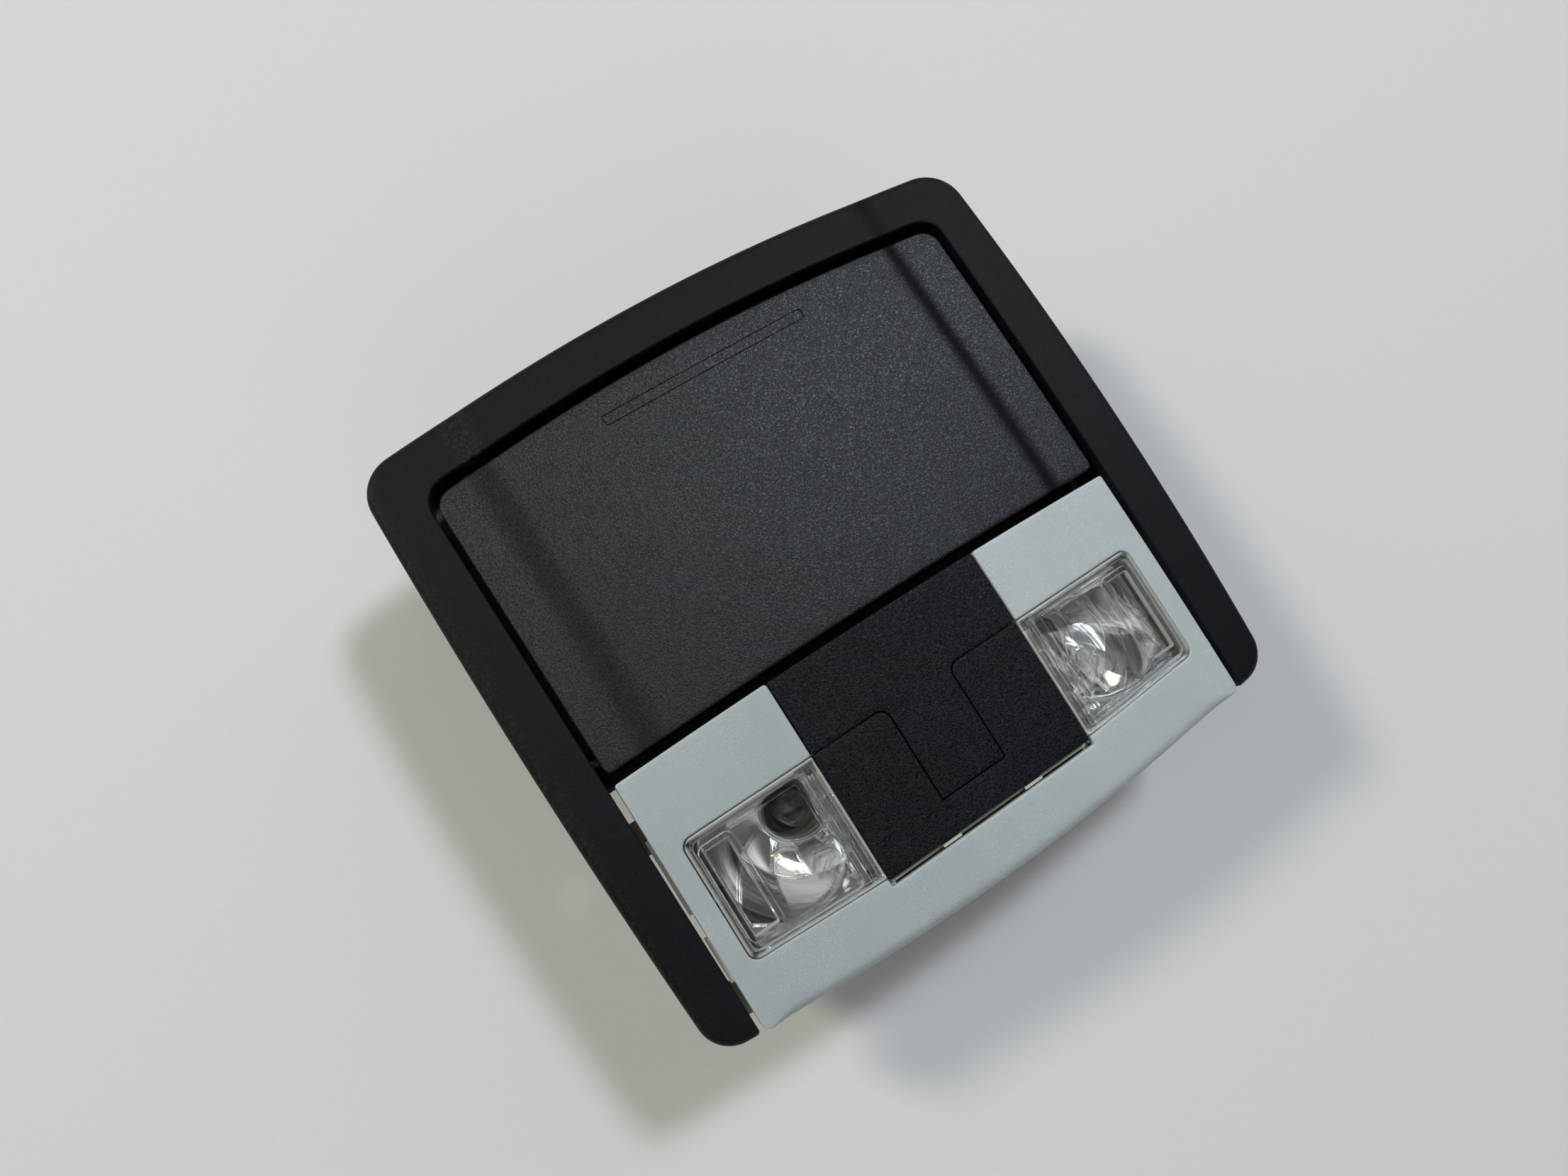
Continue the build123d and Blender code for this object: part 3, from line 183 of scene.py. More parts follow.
def outline(sides, radii, corner_points=9, side_points=0):
    """A closed outline and the tag of each point; radii[i] rounds the corner where side i ends."""
    count = len(sides)
    cuts, turns = [], []
    for i, side in enumerate(sides):
        after = sides[(i + 1) % count]
        t_in, t_out = unit(side[-1] - side[-2]), unit(after[1] - after[0])
        angle = math.acos(max(-1.0, min(1.0, float(t_in @ t_out))))
        turns.append((t_in, t_out, angle))
        cuts.append(radii[i] * math.tan(angle / 2))
    points, tags = [], []
    for i, side in enumerate(sides):
        body = trim(side, cuts[i - 1], cuts[i])
        if side_points:
            body = np.linspace(body[0], body[-1], side_points)
        after = trim(sides[(i + 1) % count], cuts[i], 0.0)
        t_in, t_out, angle = turns[i]
        pull = 4 / 3 * math.tan(angle / 4) * radii[i]
        p0, p3 = body[-1], after[0]
        p1, p2 = p0 + t_in * pull, p3 - t_out * pull
        points.extend(body)
        tags.extend([float(i)] * len(body))
        for s in np.linspace(0, 1, corner_points + 2)[1:-1]:
            r = 1 - s
            points.append(r**3 * p0 + 3 * s * r**2 * p1 + 3 * s * s * r * p2 + s**3 * p3)
            tags.append(i + float(s))
    return np.array(points), np.array(tags)


def smooth(edge0, edge1, value):
    """0 at edge0, 1 at edge1 and a soft step between."""
    t = np.clip((value - edge0) / (edge1 - edge0), 0, 1)
    return t * t * (3 - 2 * t)


def by_side(tags, values):
    """One value for each point: that of its side, blended round the corners."""
    values = np.array(values, float)
    low = np.floor(tags).astype(int)
    part = smooth(0, 1, tags - low)
    return values[low % len(values)] * (1 - part) + values[(low + 1) % len(values)] * part


def inwards(points, amount):
    """An outline moved into its own material, to its left."""
    along = np.roll(points, -1, 0) - np.roll(points, 1, 0)
    along /= np.maximum(np.linalg.norm(along, axis=1, keepdims=True), 1e-9)
    return points + np.stack([-along[:, 1], along[:, 0]], 1) * np.reshape(amount, (-1, 1))


def lift(plan, z):
    """Plan points with a height each."""
    return np.column_stack([plan, np.broadcast_to(z, len(plan))])


def drape(plan, height, down=0.0):
    """Plan points laid on a surface, or down below it."""
    return lift(plan, height(plan[:, 0], plan[:, 1]) - down)


def rounded_rect(low, high, radius, step=POINT_STEP, corner_points=9):
    (x0, y0), (x1, y1) = low, high
    sides = closed_lines([(x0, y0), (x1, y0), (x1, y1), (x0, y1)], step)
    return outline(sides, [radius] * 4, corner_points)[0]


print("a 10 by 6 rectangle with round corners has", len(rounded_rect((0, 0), (10, 6), 1.0)), "points")

# %% [markdown]
# ## Filling between loops
# The flat of a skin lies between outlines, and some outlines are holes in it. A single many-sided face
# would shade badly on a dome, so the space is filled with triangles over a grid of inner points. Counting
# how many loops surround a point lets one fill have holes and islands.

# %% Filling between loops
BATCH, GRID_TO_EDGE = 2000, 0.5


def batches(points):
    return [slice(start, start + BATCH) for start in range(0, len(points), BATCH)]


def inside(points, loops):
    """Which points lie in an odd number of loops."""
    odd = np.zeros(len(points), bool)
    for loop in loops:
        x0, y0 = loop[:, 0], loop[:, 1]
        x1, y1 = np.roll(x0, -1), np.roll(y0, -1)
        rise = np.where(y1 == y0, 1e-12, y1 - y0)
        for part in batches(points):
            x, y = points[part, 0][:, None], points[part, 1][:, None]
            crossings = ((y0 > y) != (y1 > y)) & (x < (x1 - x0) * (y - y0) / rise + x0)
            odd[part] ^= (crossings.sum(1) % 2).astype(bool)
    return odd


def clear_of(points, loops, gap):
    """Which points are further than gap from every loop point."""
    edge = np.vstack(loops)
    keep = np.ones(len(points), bool)
    for part in batches(points):
        far = ((points[part][:, None, :] - edge[None, :, :]) ** 2).sum(2).min(1)
        keep[part] = far > gap * gap
    return keep


def grid(loops, spacing):
    """Grid points inside the loops, clear of their edges."""
    flat = np.vstack(loops)
    xs, ys = (np.arange(low, high, spacing) for low, high in zip(flat.min(0), flat.max(0)))
    points = np.stack(np.meshgrid(xs, ys), -1).reshape(-1, 2)
    points = points[inside(points, loops)]
    return points[clear_of(points, loops, spacing * GRID_TO_EDGE)]


def fill(loops, inner):
    """Triangles between loops over inner points, as indices into the loops' points and then inner."""
    edges, base = [], 0
    for loop in loops:
        n = len(loop)
        edges += [(base + i, base + (i + 1) % n) for i in range(n)]
        base += n
    vectors = [Vector((float(x), float(y))) for x, y in np.vstack(loops + [inner])]
    out, _, triangles, origin, _, _ = delaunay_2d_cdt(vectors, edges, [], 1, 1e-7)
    index = [o[0] if o else -1 for o in origin]
    flat = np.array([(v.x, v.y) for v in out])
    corners = np.array([t for t in triangles if len(t) == 3])
    good = inside(flat[corners].mean(1), loops)
    named = [tuple(index[k] for k in t) for t, ok in zip(corners, good) if ok]
    return [t for t in named if min(t) >= 0]


disc = circle(0, 0, 5.0, np.linspace(0, 2 * math.pi, 24, endpoint=False))
print("a disc of 24 points is filled with", len(fill([disc], grid([disc], 2.0))), "triangles")

# %% [markdown]
# ## Skins from outlines
# A moulded shell has a top, a rounded edge, a wall and an underside. It could be a flat sheet with a
# modifier for its thickness, but the edges of this console differ from side to side. So a skin is a stack
# of rings that runs from its top, over the edge, down the wall and back under it, with a filled cap at
# each end. It is closed, even and fine enough to shade smoothly.

# %% The skin builder
GRID_TO_EXTRA, EXTRA_TO_EDGE = 0.45, 0.15


class Skin:
    """Vertices in millimetres and faces, gathered from stacks of rings and caps."""

    def __init__(self):
        self.vertices, self.faces = [], []

    def add(self, points):
        start = len(self.vertices)
        self.vertices.extend(tuple(map(float, p)) for p in points)
        return list(range(start, len(self.vertices)))

    def strips(self, rings):
        """Quads between neighbouring rings of equal length; returns the rings' indices."""
        rows = [self.add(r) for r in rings]
        for upper, lower in zip(rows, rows[1:]):
            n = len(upper)
            for i in range(n):
                j = (i + 1) % n
                self.faces.append((upper[i], lower[i], lower[j], upper[j]))
        return rows

    def lid(self, row):
        """One flat face on a ring, looking up."""
        self.faces.append(tuple(row))

    def foot(self, row):
        """One flat face on a ring, looking down."""
        self.faces.append(tuple(row[::-1]))

    def cap(self, rows, spacing, height, upwards=True, extra=None):
        """Fills between rows that are already there, over a grid on a surface and any extra points."""
        loops = [np.array([self.vertices[k][:2] for k in row]) for row in rows]
        inner = grid(loops, spacing)
        if extra is not None:
            extra = extra[inside(extra, loops)]
            extra = extra[clear_of(extra, loops, EXTRA_TO_EDGE)]
            inner = np.vstack([inner[clear_of(inner, [extra], spacing * GRID_TO_EXTRA)], extra])
        index = [k for row in rows for k in row] + self.add(drape(inner, height))
        for a, b, c in fill(loops, inner):
            triangle = (index[a], index[b], index[c])
            self.faces.append(triangle if upwards else triangle[::-1])

    def shell(self, rings, top, low, fine, coarse=4.0, extra=None):
        """Rings with a fine cap over the first of them and a coarse cap under the last."""
        rows = self.strips(rings)
        self.cap([rows[0]], fine, top, extra=extra)
        self.cap([rows[-1]], coarse, low, upwards=False)

    def mirror(self, axis=0):
        """Turns the skin over along one axis, with its faces still outwards."""
        turned_over = [-1.0 if k == axis else 1.0 for k in range(3)]
        self.vertices = [tuple(s * c for s, c in zip(turned_over, v)) for v in self.vertices]
        self.faces = [f[::-1] for f in self.faces]

    def mesh(self, name, sharp=32.0):
        mesh = bpy.data.meshes.new(name)
        mesh.from_pydata([(x * MM, y * MM, z * MM) for x, y, z in self.vertices], [], self.faces)
        mesh.validate()
        mesh.shade_smooth()
        mesh.set_sharp_from_angle(angle=math.radians(sharp))
        return mesh


def rolled(inset, radius, height, count=6):
    """Rings over a rounded upper edge, from the cap's rim to the wall; inset(amount) is the outline."""
    rings = []
    for k in range(count + 1):
        t = math.pi / 2 * (1 - k / count)
        edge = inset(radius * (1 - math.cos(t)))
        rings.append(drape(edge, height, radius * (1 - math.sin(t))))
    return rings


print("skin builder ready; a rolled edge has", len(rolled(partial(inwards, disc), 1.0, face)), "rings")

# %% [markdown]
# ## Finishes as expressions
# A finish is a node tree, which could be wired up by hand in the shader editor. Long formulas are easier
# to read as text. One small class wraps a socket, so that sums and products of wires are plain Python and
# add their own Math nodes.

# %% Sockets that can be added and multiplied
class Wire:
    """One output socket; arithmetic on it adds Math nodes to its finish."""

    def __init__(self, finish, socket):
        self.finish, self.socket = finish, socket

    def _math(self, operation, first, second):
        return self.finish.node("ShaderNodeMath", {"operation": operation}, {0: first, 1: second})

    def __add__(self, other):
        return self._math("ADD", self, other)

    def __radd__(self, other):
        return self._math("ADD", other, self)

    def __sub__(self, other):
        return self._math("SUBTRACT", self, other)

    def __rsub__(self, other):
        return self._math("SUBTRACT", other, self)

    def __mul__(self, other):
        return self._math("MULTIPLY", self, other)

    def __rmul__(self, other):
        return self._math("MULTIPLY", other, self)

    def least(self, other):
        return self._math("MINIMUM", self, other)

    def size(self):
        return self._math("ABSOLUTE", self, 0.0)


def opaque(colour):
    """A colour with its fourth value; a wire stays as it is."""
    return colour if isinstance(colour, Wire) else (*colour, 1.0)


print("a wire knows", [name for name in vars(Wire) if name.startswith("__r")], "besides the plain forms")

# %% [markdown]
# ## One maker for every node
# Any node other than a Math node comes from one method, which takes the node's settings first and its
# sockets after. All patterns are read in millimetres from the object's own coordinates, so a grain has its
# real size on every piece and stays on it when it moves.

# %% A finish and its nodes
PER_METRE = 1000.0


class Finish:
    """A material and the nodes that make it."""

    def __init__(self, name):
        self.material = bpy.data.materials.new(name)
        self.material.use_nodes = True
        self.tree = self.material.node_tree
        self.tree.nodes.clear()
        metres = self.node("ShaderNodeTexCoord", output="Object")
        scale = {0: metres, "Scale": PER_METRE}
        self.place = self.node("ShaderNodeVectorMath", {"operation": "SCALE"}, scale)

    def node(self, kind, settings=None, sockets=None, output=0):
        made = self.tree.nodes.new(kind)
        for key, value in (settings or {}).items():
            setattr(made, key, value)
        for key, value in (sockets or {}).items():
            if isinstance(value, Wire):
                self.tree.links.new(value.socket, made.inputs[key])
            else:
                made.inputs[key].default_value = value
        return Wire(self, made.outputs[output]) if made.outputs else None

    def axes(self):
        first = self.node("ShaderNodeSeparateXYZ", {}, {0: self.place})
        return [Wire(self, socket) for socket in first.socket.node.outputs]

    def noise(self, per_mm, detail=2.0, rough=0.5, distort=0.0):
        values = {"Vector": self.place, "Scale": per_mm, "Detail": detail, "Roughness": rough}
        return self.node("ShaderNodeTexNoise", {}, {**values, "Distortion": distort}, "Fac")

    def attribute(self, name):
        """A value that the mesh itself carries at each point."""
        return self.node("ShaderNodeAttribute", {"attribute_name": name}, output="Fac")

    def band(self, value, low, high):
        """0 below low, 1 above high and smooth between."""
        values = {"Value": value, "From Min": low, "From Max": high}
        return self.node("ShaderNodeMapRange", {"interpolation_type": "SMOOTHSTEP"}, values)

    def blend(self, factor, first, second):
        """Two colours mixed by a value."""
        wires = {0: factor, 6: opaque(first), 7: opaque(second)}
        return self.node("ShaderNodeMix", {"data_type": "RGBA"}, wires, 2)

    def bump(self, height, distance_mm, strength):
        values = {"Height": height, "Distance": distance_mm * MM, "Strength": strength}
        return self.node("ShaderNodeBump", {}, values)

    def shader(self, **sockets):
        """The shader itself; names are the shader's own, with _ for a space."""
        values = {key.replace("_", " "): value for key, value in sockets.items()}
        values["Base Color"] = opaque(values["Base Color"])
        return self.node("ShaderNodeBsdfPrincipled", {}, values)

    def mixed(self, factor, first, second):
        return self.node("ShaderNodeMixShader", {}, {0: factor, 1: first, 2: second})

    def output(self, shader):
        self.node("ShaderNodeOutputMaterial", {}, {"Surface": shader})
        return self.material

    def surface(self, **sockets):
        return self.output(self.shader(**sockets))


print("a finish can make", [name for name in vars(Finish) if not name.startswith("_")])

# %% [markdown]
# ## Black plastics
# The plastic is black, but not one black. The bezel has a fine, dry, spark-eroded grain with pale specks,
# while the door and the switches have a coarser pebbled grain whose glints are painted into its colour as
# lighter strokes. Along the creases of the face, the right-hand one gets a painted dark band of shade and
# the left-hand one holds dust. Real grain is too fine for a mesh, so it is bump and colour from noise; the
# bands follow the object's own x, where the crease is.

# %% Black plastics
CREASE_X = 68.0


def creased(f):
    """How deep a point lies in the right-hand and the left-hand crease of the face."""
    x, y, z = f.axes()
    right = 1 - f.band((x - CREASE_X).size(), 0.3, 4.2)
    left = 1 - f.band((x + CREASE_X).size(), 1.2, 6.5)
    return right, left


def bezel_black():
    f = Finish("bezel_black")
    x, y, z = f.axes()
    right, left = creased(f)
    grain = f.noise(2.8, 2.0, 0.6)
    broad = f.noise(0.05, 3.0)
    dust_spots = f.band(f.noise(0.9, 4.0, 0.7), 0.45, 0.75)
    edge = 1 - f.band(x, -98.0, -92.0)
    dust = (left * f.band(y, 40.0, 75.0) + edge * 0.6) * dust_spots
    specks = f.band(grain, 0.45, 0.75) * 0.7 + broad * 0.3
    tone = f.blend(specks, (0.0014, 0.0020, 0.0028), (0.0092, 0.0110, 0.0132))
    colour = f.blend(dust * 0.5, tone, (0.085, 0.07, 0.045))
    rough = 0.44 + broad * 0.12 + dust * 0.2
    plastic = f.shader(Base_Color=colour, Roughness=rough, Specular_IOR_Level=0.14,
                       Normal=f.bump(grain, 0.14, 1.0))
    # painted shade: a darker, matte band on the right-hand crease near the top of the bezel
    painted_crease_shade = f.shader(Base_Color=(0.004, 0.0046, 0.0055), Roughness=0.8, Specular_IOR_Level=0.05)
    return f.output(f.mixed(right * f.band(y, 70.0, 80.0) * 0.55, plastic, painted_crease_shade))


def pebbled_black(name, per_mm, depth, dark, light, shine, crease_dust_and_shade):
    f = Finish(name)
    folds = f.noise(per_mm, 1.0, 0.45, 0.7)
    pebbles_and_glints = 1 - ((folds - 0.5).size() * 6.0).least(1.0)
    fine = f.noise(per_mm * 0.8, 1.0, 0.5)
    grain = f.bump(pebbles_and_glints * 0.5 + fine, depth, 1.0)
    broad = f.noise(0.045, 2.0)
    rough = 0.48 - pebbles_and_glints * 0.14 + broad * 0.06
    # painted highlight: the raised pebbles get lighter strokes that stand in for their glints
    tone = f.blend(pebbles_and_glints * pebbles_and_glints * (0.6 + broad * 0.6), dark, light)
    plastic = f.shader(Base_Color=tone, Roughness=rough, Specular_IOR_Level=shine, Normal=grain)
    if not crease_dust_and_shade:
        return f.output(plastic)
    right, left = creased(f)
    streaks = 0.6 + f.noise(0.35, 3.0, 0.6) * 0.7
    # painted shade: a darker, matte band along the right-hand crease of the door
    painted_crease_shade = f.shader(Base_Color=(0.005, 0.0058, 0.007), Roughness=0.8, Specular_IOR_Level=0.05,
                    Normal=grain)
    settled = f.blend(pebbles_and_glints, (0.0070, 0.0070, 0.0064), (0.0185, 0.0178, 0.0160))
    dust = f.shader(Base_Color=settled, Roughness=0.85, Specular_IOR_Level=0.08, Normal=grain)
    shaded = f.mixed(right * 0.95, plastic, painted_crease_shade)
    return f.output(f.mixed((left * streaks * 0.72).least(1.0), shaded, dust))


BEZEL = bezel_black()
DOOR = pebbled_black("door_pebbled_black", per_mm=1.45, depth=0.085, dark=(0.0014, 0.0020, 0.0028),
                     light=(0.0215, 0.0262, 0.0318), shine=0.32, crease_dust_and_shade=True)
SWITCHES = pebbled_black("switch_pebbled_black", per_mm=1.35, depth=0.13, dark=(0.0004, 0.0006, 0.0010),
                         light=(0.0158, 0.0196, 0.0254), shine=0.13, crease_dust_and_shade=False)
print("black plastics:", [finish.name for finish in (BEZEL, DOOR, SWITCHES)])

# %% [markdown]
# ## Plain mouldings
# The parts behind the face are plain injection mouldings in black or cream, and a lacquered board. They
# need no grain of their own, only the faint flow of colour and the slight orange peel that keep a moulding
# from looking like a flat fill, so one function with a few values makes them all.

# %% Plain plastics
def plain_plastic(name, dark, light, rough):
    f = Finish(name)
    flow = f.noise(0.08, 3.0, 0.55)
    skin = f.noise(3.0, 2.0)
    colour = f.blend(flow, dark, light)
    return f.surface(Base_Color=colour, Roughness=rough + skin * 0.12, Normal=f.bump(skin, 0.02, 0.6))


BIN = plain_plastic("bin_moulded_black", (0.012, 0.012, 0.013), (0.022, 0.022, 0.024), 0.42)
DARK = plain_plastic("dark_moulding", (0.010, 0.010, 0.011), (0.020, 0.020, 0.021), 0.35)
CREAM = plain_plastic("cream_moulding", (0.62, 0.59, 0.50), (0.74, 0.71, 0.62), 0.40)
BOARD = plain_plastic("lacquered_board", (0.012, 0.07, 0.03), (0.02, 0.10, 0.045), 0.22)
print("plain mouldings:", [finish.name for finish in (BIN, DARK, CREAM, BOARD)])

# %% [markdown]
# ## Lens plastics and glass
# The frosted lens is a milky grey that light enters, with a sugary surface whose glints gather in patches,
# so it has some light under its surface. Its glints are painted over it as pale specks, its low rolled edge
# has painted shade and its right-hand side painted light. The clear lenses and the bulbs are polished.
# The clear lens gets a painted highlight, a pale white, along its rim and on the steep flanks of its relief;
# the mesh carries that as a value at each point, because no noise could know where the flanks are.

# %% Lens plastics and glass
def frosted_milk():
    f = Finish("frosted_milk")
    x, y, z = f.axes()
    cloud = f.noise(0.03, 3.0, 0.55)
    sugar = f.noise(3.2, 2.0, 0.6)
    glint_specks = f.band(f.noise(4.0, 2.0, 0.6), 0.50, 0.74)
    glint = glint_specks * (0.35 + f.band(f.noise(0.04, 2.0), 0.40, 0.62) * 0.65)
    # painted shade: darker low down, where the lens rolls over at its lower edge
    thick = 1 - f.band(z, -1.0, 4.2)
    tone = f.blend(cloud, (0.328, 0.366, 0.374), (0.424, 0.465, 0.478))
    tone = f.blend(thick * 0.4, tone, (0.300, 0.331, 0.336))
    # painted light: lighter towards the right-hand side
    tone = f.blend(f.band(x, -80.0, 80.0) * 0.14, tone, (0.70, 0.75, 0.80))
    # painted highlight: pale glint specks, gathered in patches
    colour = f.blend(glint * 0.42, tone, (0.90, 0.93, 0.95))
    rough = 0.36 + sugar * 0.12 - glint * 0.14
    return f.surface(Base_Color=colour, Roughness=rough, Specular_IOR_Level=0.55, Subsurface_Weight=0.6,
                     Subsurface_Radius=(1.0, 1.0, 1.0), Subsurface_Scale=0.003,
                     Normal=f.bump(sugar, 0.12, 1.0))


def clear_acrylic(name, tint, rough, index, see_through, rim=0.0):
    f = Finish(name)
    wave = f.noise(0.12, 1.0)
    steep = f.node("ShaderNodeLayerWeight", {}, {"Blend": 0.5}, "Facing")
    body = (1 - see_through + steep * 1.2).least(1.0)
    clear = f.shader(Base_Color=tint, Roughness=rough, IOR=index, Transmission_Weight=1.0, Alpha=body,
                     Normal=f.bump(wave, 0.03, 0.25))
    if not rim:
        return f.output(clear)
    near_edge = f.attribute("rim")
    # painted highlight: a pale white mixed in along the rim and on the relief's steep flanks
    painted_highlight = f.shader(Base_Color=(0.74, 0.76, 0.76), Roughness=0.12)
    return f.output(f.mixed(near_edge * rim, clear, painted_highlight))


FROST = frosted_milk()
CLEAR = clear_acrylic("clear_acrylic", (0.98, 0.99, 0.985), 0.0, 1.49, 0.5, 0.5)
GLASS = clear_acrylic("bulb_glass", (0.97, 0.98, 0.98), 0.0, 1.5, 0.4)
print("lens finishes:", [finish.name for finish in (FROST, CLEAR, GLASS)])

# %% [markdown]
# ## Metals and felt
# The reflectors are bright metal laid on plastic, which is never quite flat and turns satin on its rolled
# edges. Springs, clips and screws are plated steel, the contacts are brass and the bin is lined with felt.
# The metals differ only in tint and polish, so one function makes them. The felt is rough, with a long,
# twisted noise for its fibres.

# %% Metals and felt
def bright_metal(name, tint, rough):
    f = Finish(name)
    skin = f.noise(0.7, 3.0, 0.6)
    haze = f.noise(0.15, 3.0)
    colour = f.blend(haze, tuple(0.93 * c for c in tint), tint)
    satin = f.attribute("satin")
    return f.surface(Base_Color=colour, Metallic=1.0, Roughness=rough + haze * 0.06 + satin * 0.36,
                     Normal=f.bump(skin, 0.006, 0.5))


def felt():
    f = Finish("liner_felt")
    fibres = f.noise(2.2, 5.0, 0.75, 1.5)
    colour = f.blend(fibres, (0.018, 0.017, 0.016), (0.05, 0.047, 0.043))
    return f.surface(Base_Color=colour, Roughness=0.95, Sheen_Weight=0.3, Normal=f.bump(fibres, 0.3, 0.8))


MIRROR = bright_metal("bright_reflector", (0.90, 0.905, 0.90), 0.03)
STEEL = bright_metal("plated_steel", (0.55, 0.55, 0.54), 0.26)
BRASS = bright_metal("brass", (0.78, 0.60, 0.30), 0.24)
BLACKED = bright_metal("blackened_steel", (0.035, 0.036, 0.04), 0.36)
FELT = felt()
print("metals and felt:", [finish.name for finish in (MIRROR, STEEL, BRASS, BLACKED, FELT)])

# %% [markdown]
# ## Placing a piece
# A finished skin becomes an object at the origin, rides on its CAD body and stands for its CAD node. Some
# nodes have legs, ribs and lugs under the face. Those could be drawn again, but they are plain shapes that
# the CAD already has, so they are copied from it and added to the skin.

# %% Putting skins on bodies
NODE_BODY = {n: b for b, nodes in frame["record"]["behaviour"]["bodies"].items() for n in nodes}
MERGE, UNDER_GAP = 2e-6, 0.12


def place(mesh, material, node, stands_for=True):
    thing = bpy.data.objects.new(mesh.name, mesh)
    bpy.context.scene.collection.objects.link(thing)
    mesh.materials.clear()
    mesh.materials.append(material)
    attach(thing, NODE_BODY[node])
    if stands_for:
        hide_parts(node)
    print(f"{thing.name}: {len(mesh.polygons)} faces on {NODE_BODY[node]}")
    return thing


def merged(node):
    """A CAD node's triangles with their shared points joined."""
    work = bmesh.new()
    work.from_mesh(frame["nodes"][node].data)
    bmesh.ops.remove_doubles(work, verts=work.verts, dist=MERGE)
    return work


def under_parts(skin, node, drop, keep=None):
    """Adds the legs, ribs and lugs of a CAD node, which lie under its skin, to the skin."""
    work = merged(node)
    work.faces.ensure_lookup_table()
    middles = np.array([f.calc_center_median() for f in work.faces]) / MM
    low = middles[:, 2] < face(middles[:, 0], middles[:, 1], drop) - UNDER_GAP
    if keep is not None:
        low &= keep(middles)
    index = {}
    for f, ok in zip(work.faces, low):
        if ok:
            for v in f.verts:
                if v not in index:
                    index[v] = skin.add([np.array(v.co) / MM])[0]
            skin.faces.append(tuple(index[v] for v in f.verts))
    work.free()


def carry(mesh, name, amount):
    """Gives each point of a mesh a value, worked out from its x, y and z in millimetres."""
    points = np.array([v.co for v in mesh.vertices]) / MM
    layer = mesh.attributes.new(name, "FLOAT", "POINT")
    layer.data.foreach_set("value", amount(*points.T).astype(np.float32))


# %% [markdown]
# ## Bezel
# The bezel is a U-shaped frame whose rim rolls over at its outer edge and drops into a narrow wall round
# the opening. A bevel would round both edges alike. Its skin is one outline that goes out along the rim
# and comes back along the opening, so it can have a wide roll on one side and a crisp edge on the other.

# %% Bezel skin
HALF_WIDTH, WIDEST_Y, TOP, BOTTOM = 98.6, 25.0, 95.0, -94.2
TOP_HALF, TOP_SAG, BOTTOM_HALF, BOTTOM_SAG = 97.9, 6.4, 95.6, 5.7
OPEN_LOW, OPEN_HIGH, OPEN_TOP, OPEN_SAG = 83.2, 84.9, 81.0, 4.8
MOUTH, WALL = BOTTOM - 10.0, 2.2
RIM_SIDES, RIM_ROLL, RIM_FOOT = 5, 2.4, 0.0
OPENING_SIDES, OPENING_ROLL, OPENING_FOOT = 3, 0.75, -8.0
BEZEL_CORNERS = [10.0, 12.0, 12.0, 10.0, 1.2, 7.5, 7.5, 1.2]
FLIP = np.array([-1.0, 1.0])


def across(path):
    """The same path on the other side of the middle, run backwards."""
    return (path * FLIP)[::-1]


def lower_edge(x):
    return BOTTOM + BOTTOM_SAG * (x / BOTTOM_HALF) ** 2


def opening_half(y):
    """Half width of the bezel's opening at y."""
    return OPEN_LOW + (OPEN_HIGH - OPEN_LOW) * (y - MOUTH) / (OPEN_TOP - OPEN_SAG - MOUTH)


def bezel_outline():
    foot_x = opening_half(lower_edge(OPEN_LOW))
    toe_x = (foot_x + BOTTOM_HALF) / 2
    foot, heel = (foot_x, lower_edge(foot_x)), (BOTTOM_HALF, BOTTOM + BOTTOM_SAG)
    shoulder, inner_shoulder = (TOP_HALF, TOP - TOP_SAG), (OPEN_HIGH, OPEN_TOP - OPEN_SAG)
    toe = arc(foot, (toe_x, lower_edge(toe_x)), heel)
    side = arc(heel, (HALF_WIDTH, WIDEST_Y), shoulder)
    top = arc(shoulder, (0, TOP), FLIP * shoulder)
    inner_side = line(inner_shoulder, foot)
    inner_top = arc(FLIP * inner_shoulder, (0, OPEN_TOP), inner_shoulder)
    sides = [toe, side, top, across(side), across(toe), across(inner_side), inner_top, inner_side]
    return outline(sides, BEZEL_CORNERS, 14)


def bezel_skin():
    plan, tags = bezel_outline()
    roll = by_side(tags, [RIM_ROLL] * RIM_SIDES + [OPENING_ROLL] * OPENING_SIDES)
    foot_z = by_side(tags, [RIM_FOOT] * RIM_SIDES + [OPENING_FOOT] * OPENING_SIDES)
    inner = inwards(plan, WALL)
    rings = rolled(partial(inwards, plan), roll, face, 7)
    rings += [lift(plan, foot_z), lift(inner, foot_z), drape(inner, sunk(WALL))]
    skin = Skin()
    skin.shell(rings, face, sunk(WALL), fine=1.9)
    under_parts(skin, "bezel_frame", WALL, lambda m: clear_of(m[:, :2], [plan], WALL + UNDER_GAP))
    return skin.mesh("bezel_frame_skin")


place(bezel_skin(), BEZEL, "bezel_frame")

# %% [markdown]
# ## Bin door
# The door sits a little below the bezel, so its edge is only just rounded and a dark gap runs round it. The
# push mark near its free edge is a thin groove round a long bar. A bump could only hint at it, so it is
# cut into the skin as two loops, and the bar's own face stays level with the door.

# %% Door skin
DOOR_RECESS, DOOR_ROLL = 1.4, 0.7
DOOR_LOW, DOOR_LOW_MIDDLE, DOOR_SIDE_GAP, DOOR_TOP_GAP = -13.3, -12.1, 1.8, 2.7
DOOR_CORNERS = [1.6, 5.7, 5.7, 1.6]
MARK_LOW, MARK_HIGH, MARK_CORNER = (-33.2, 67.2), (33.2, 70.8), 0.9
GROOVE_WIDTH, GROOVE_DEPTH, GROOVE_DRAFT = 0.55, 0.4, 0.07


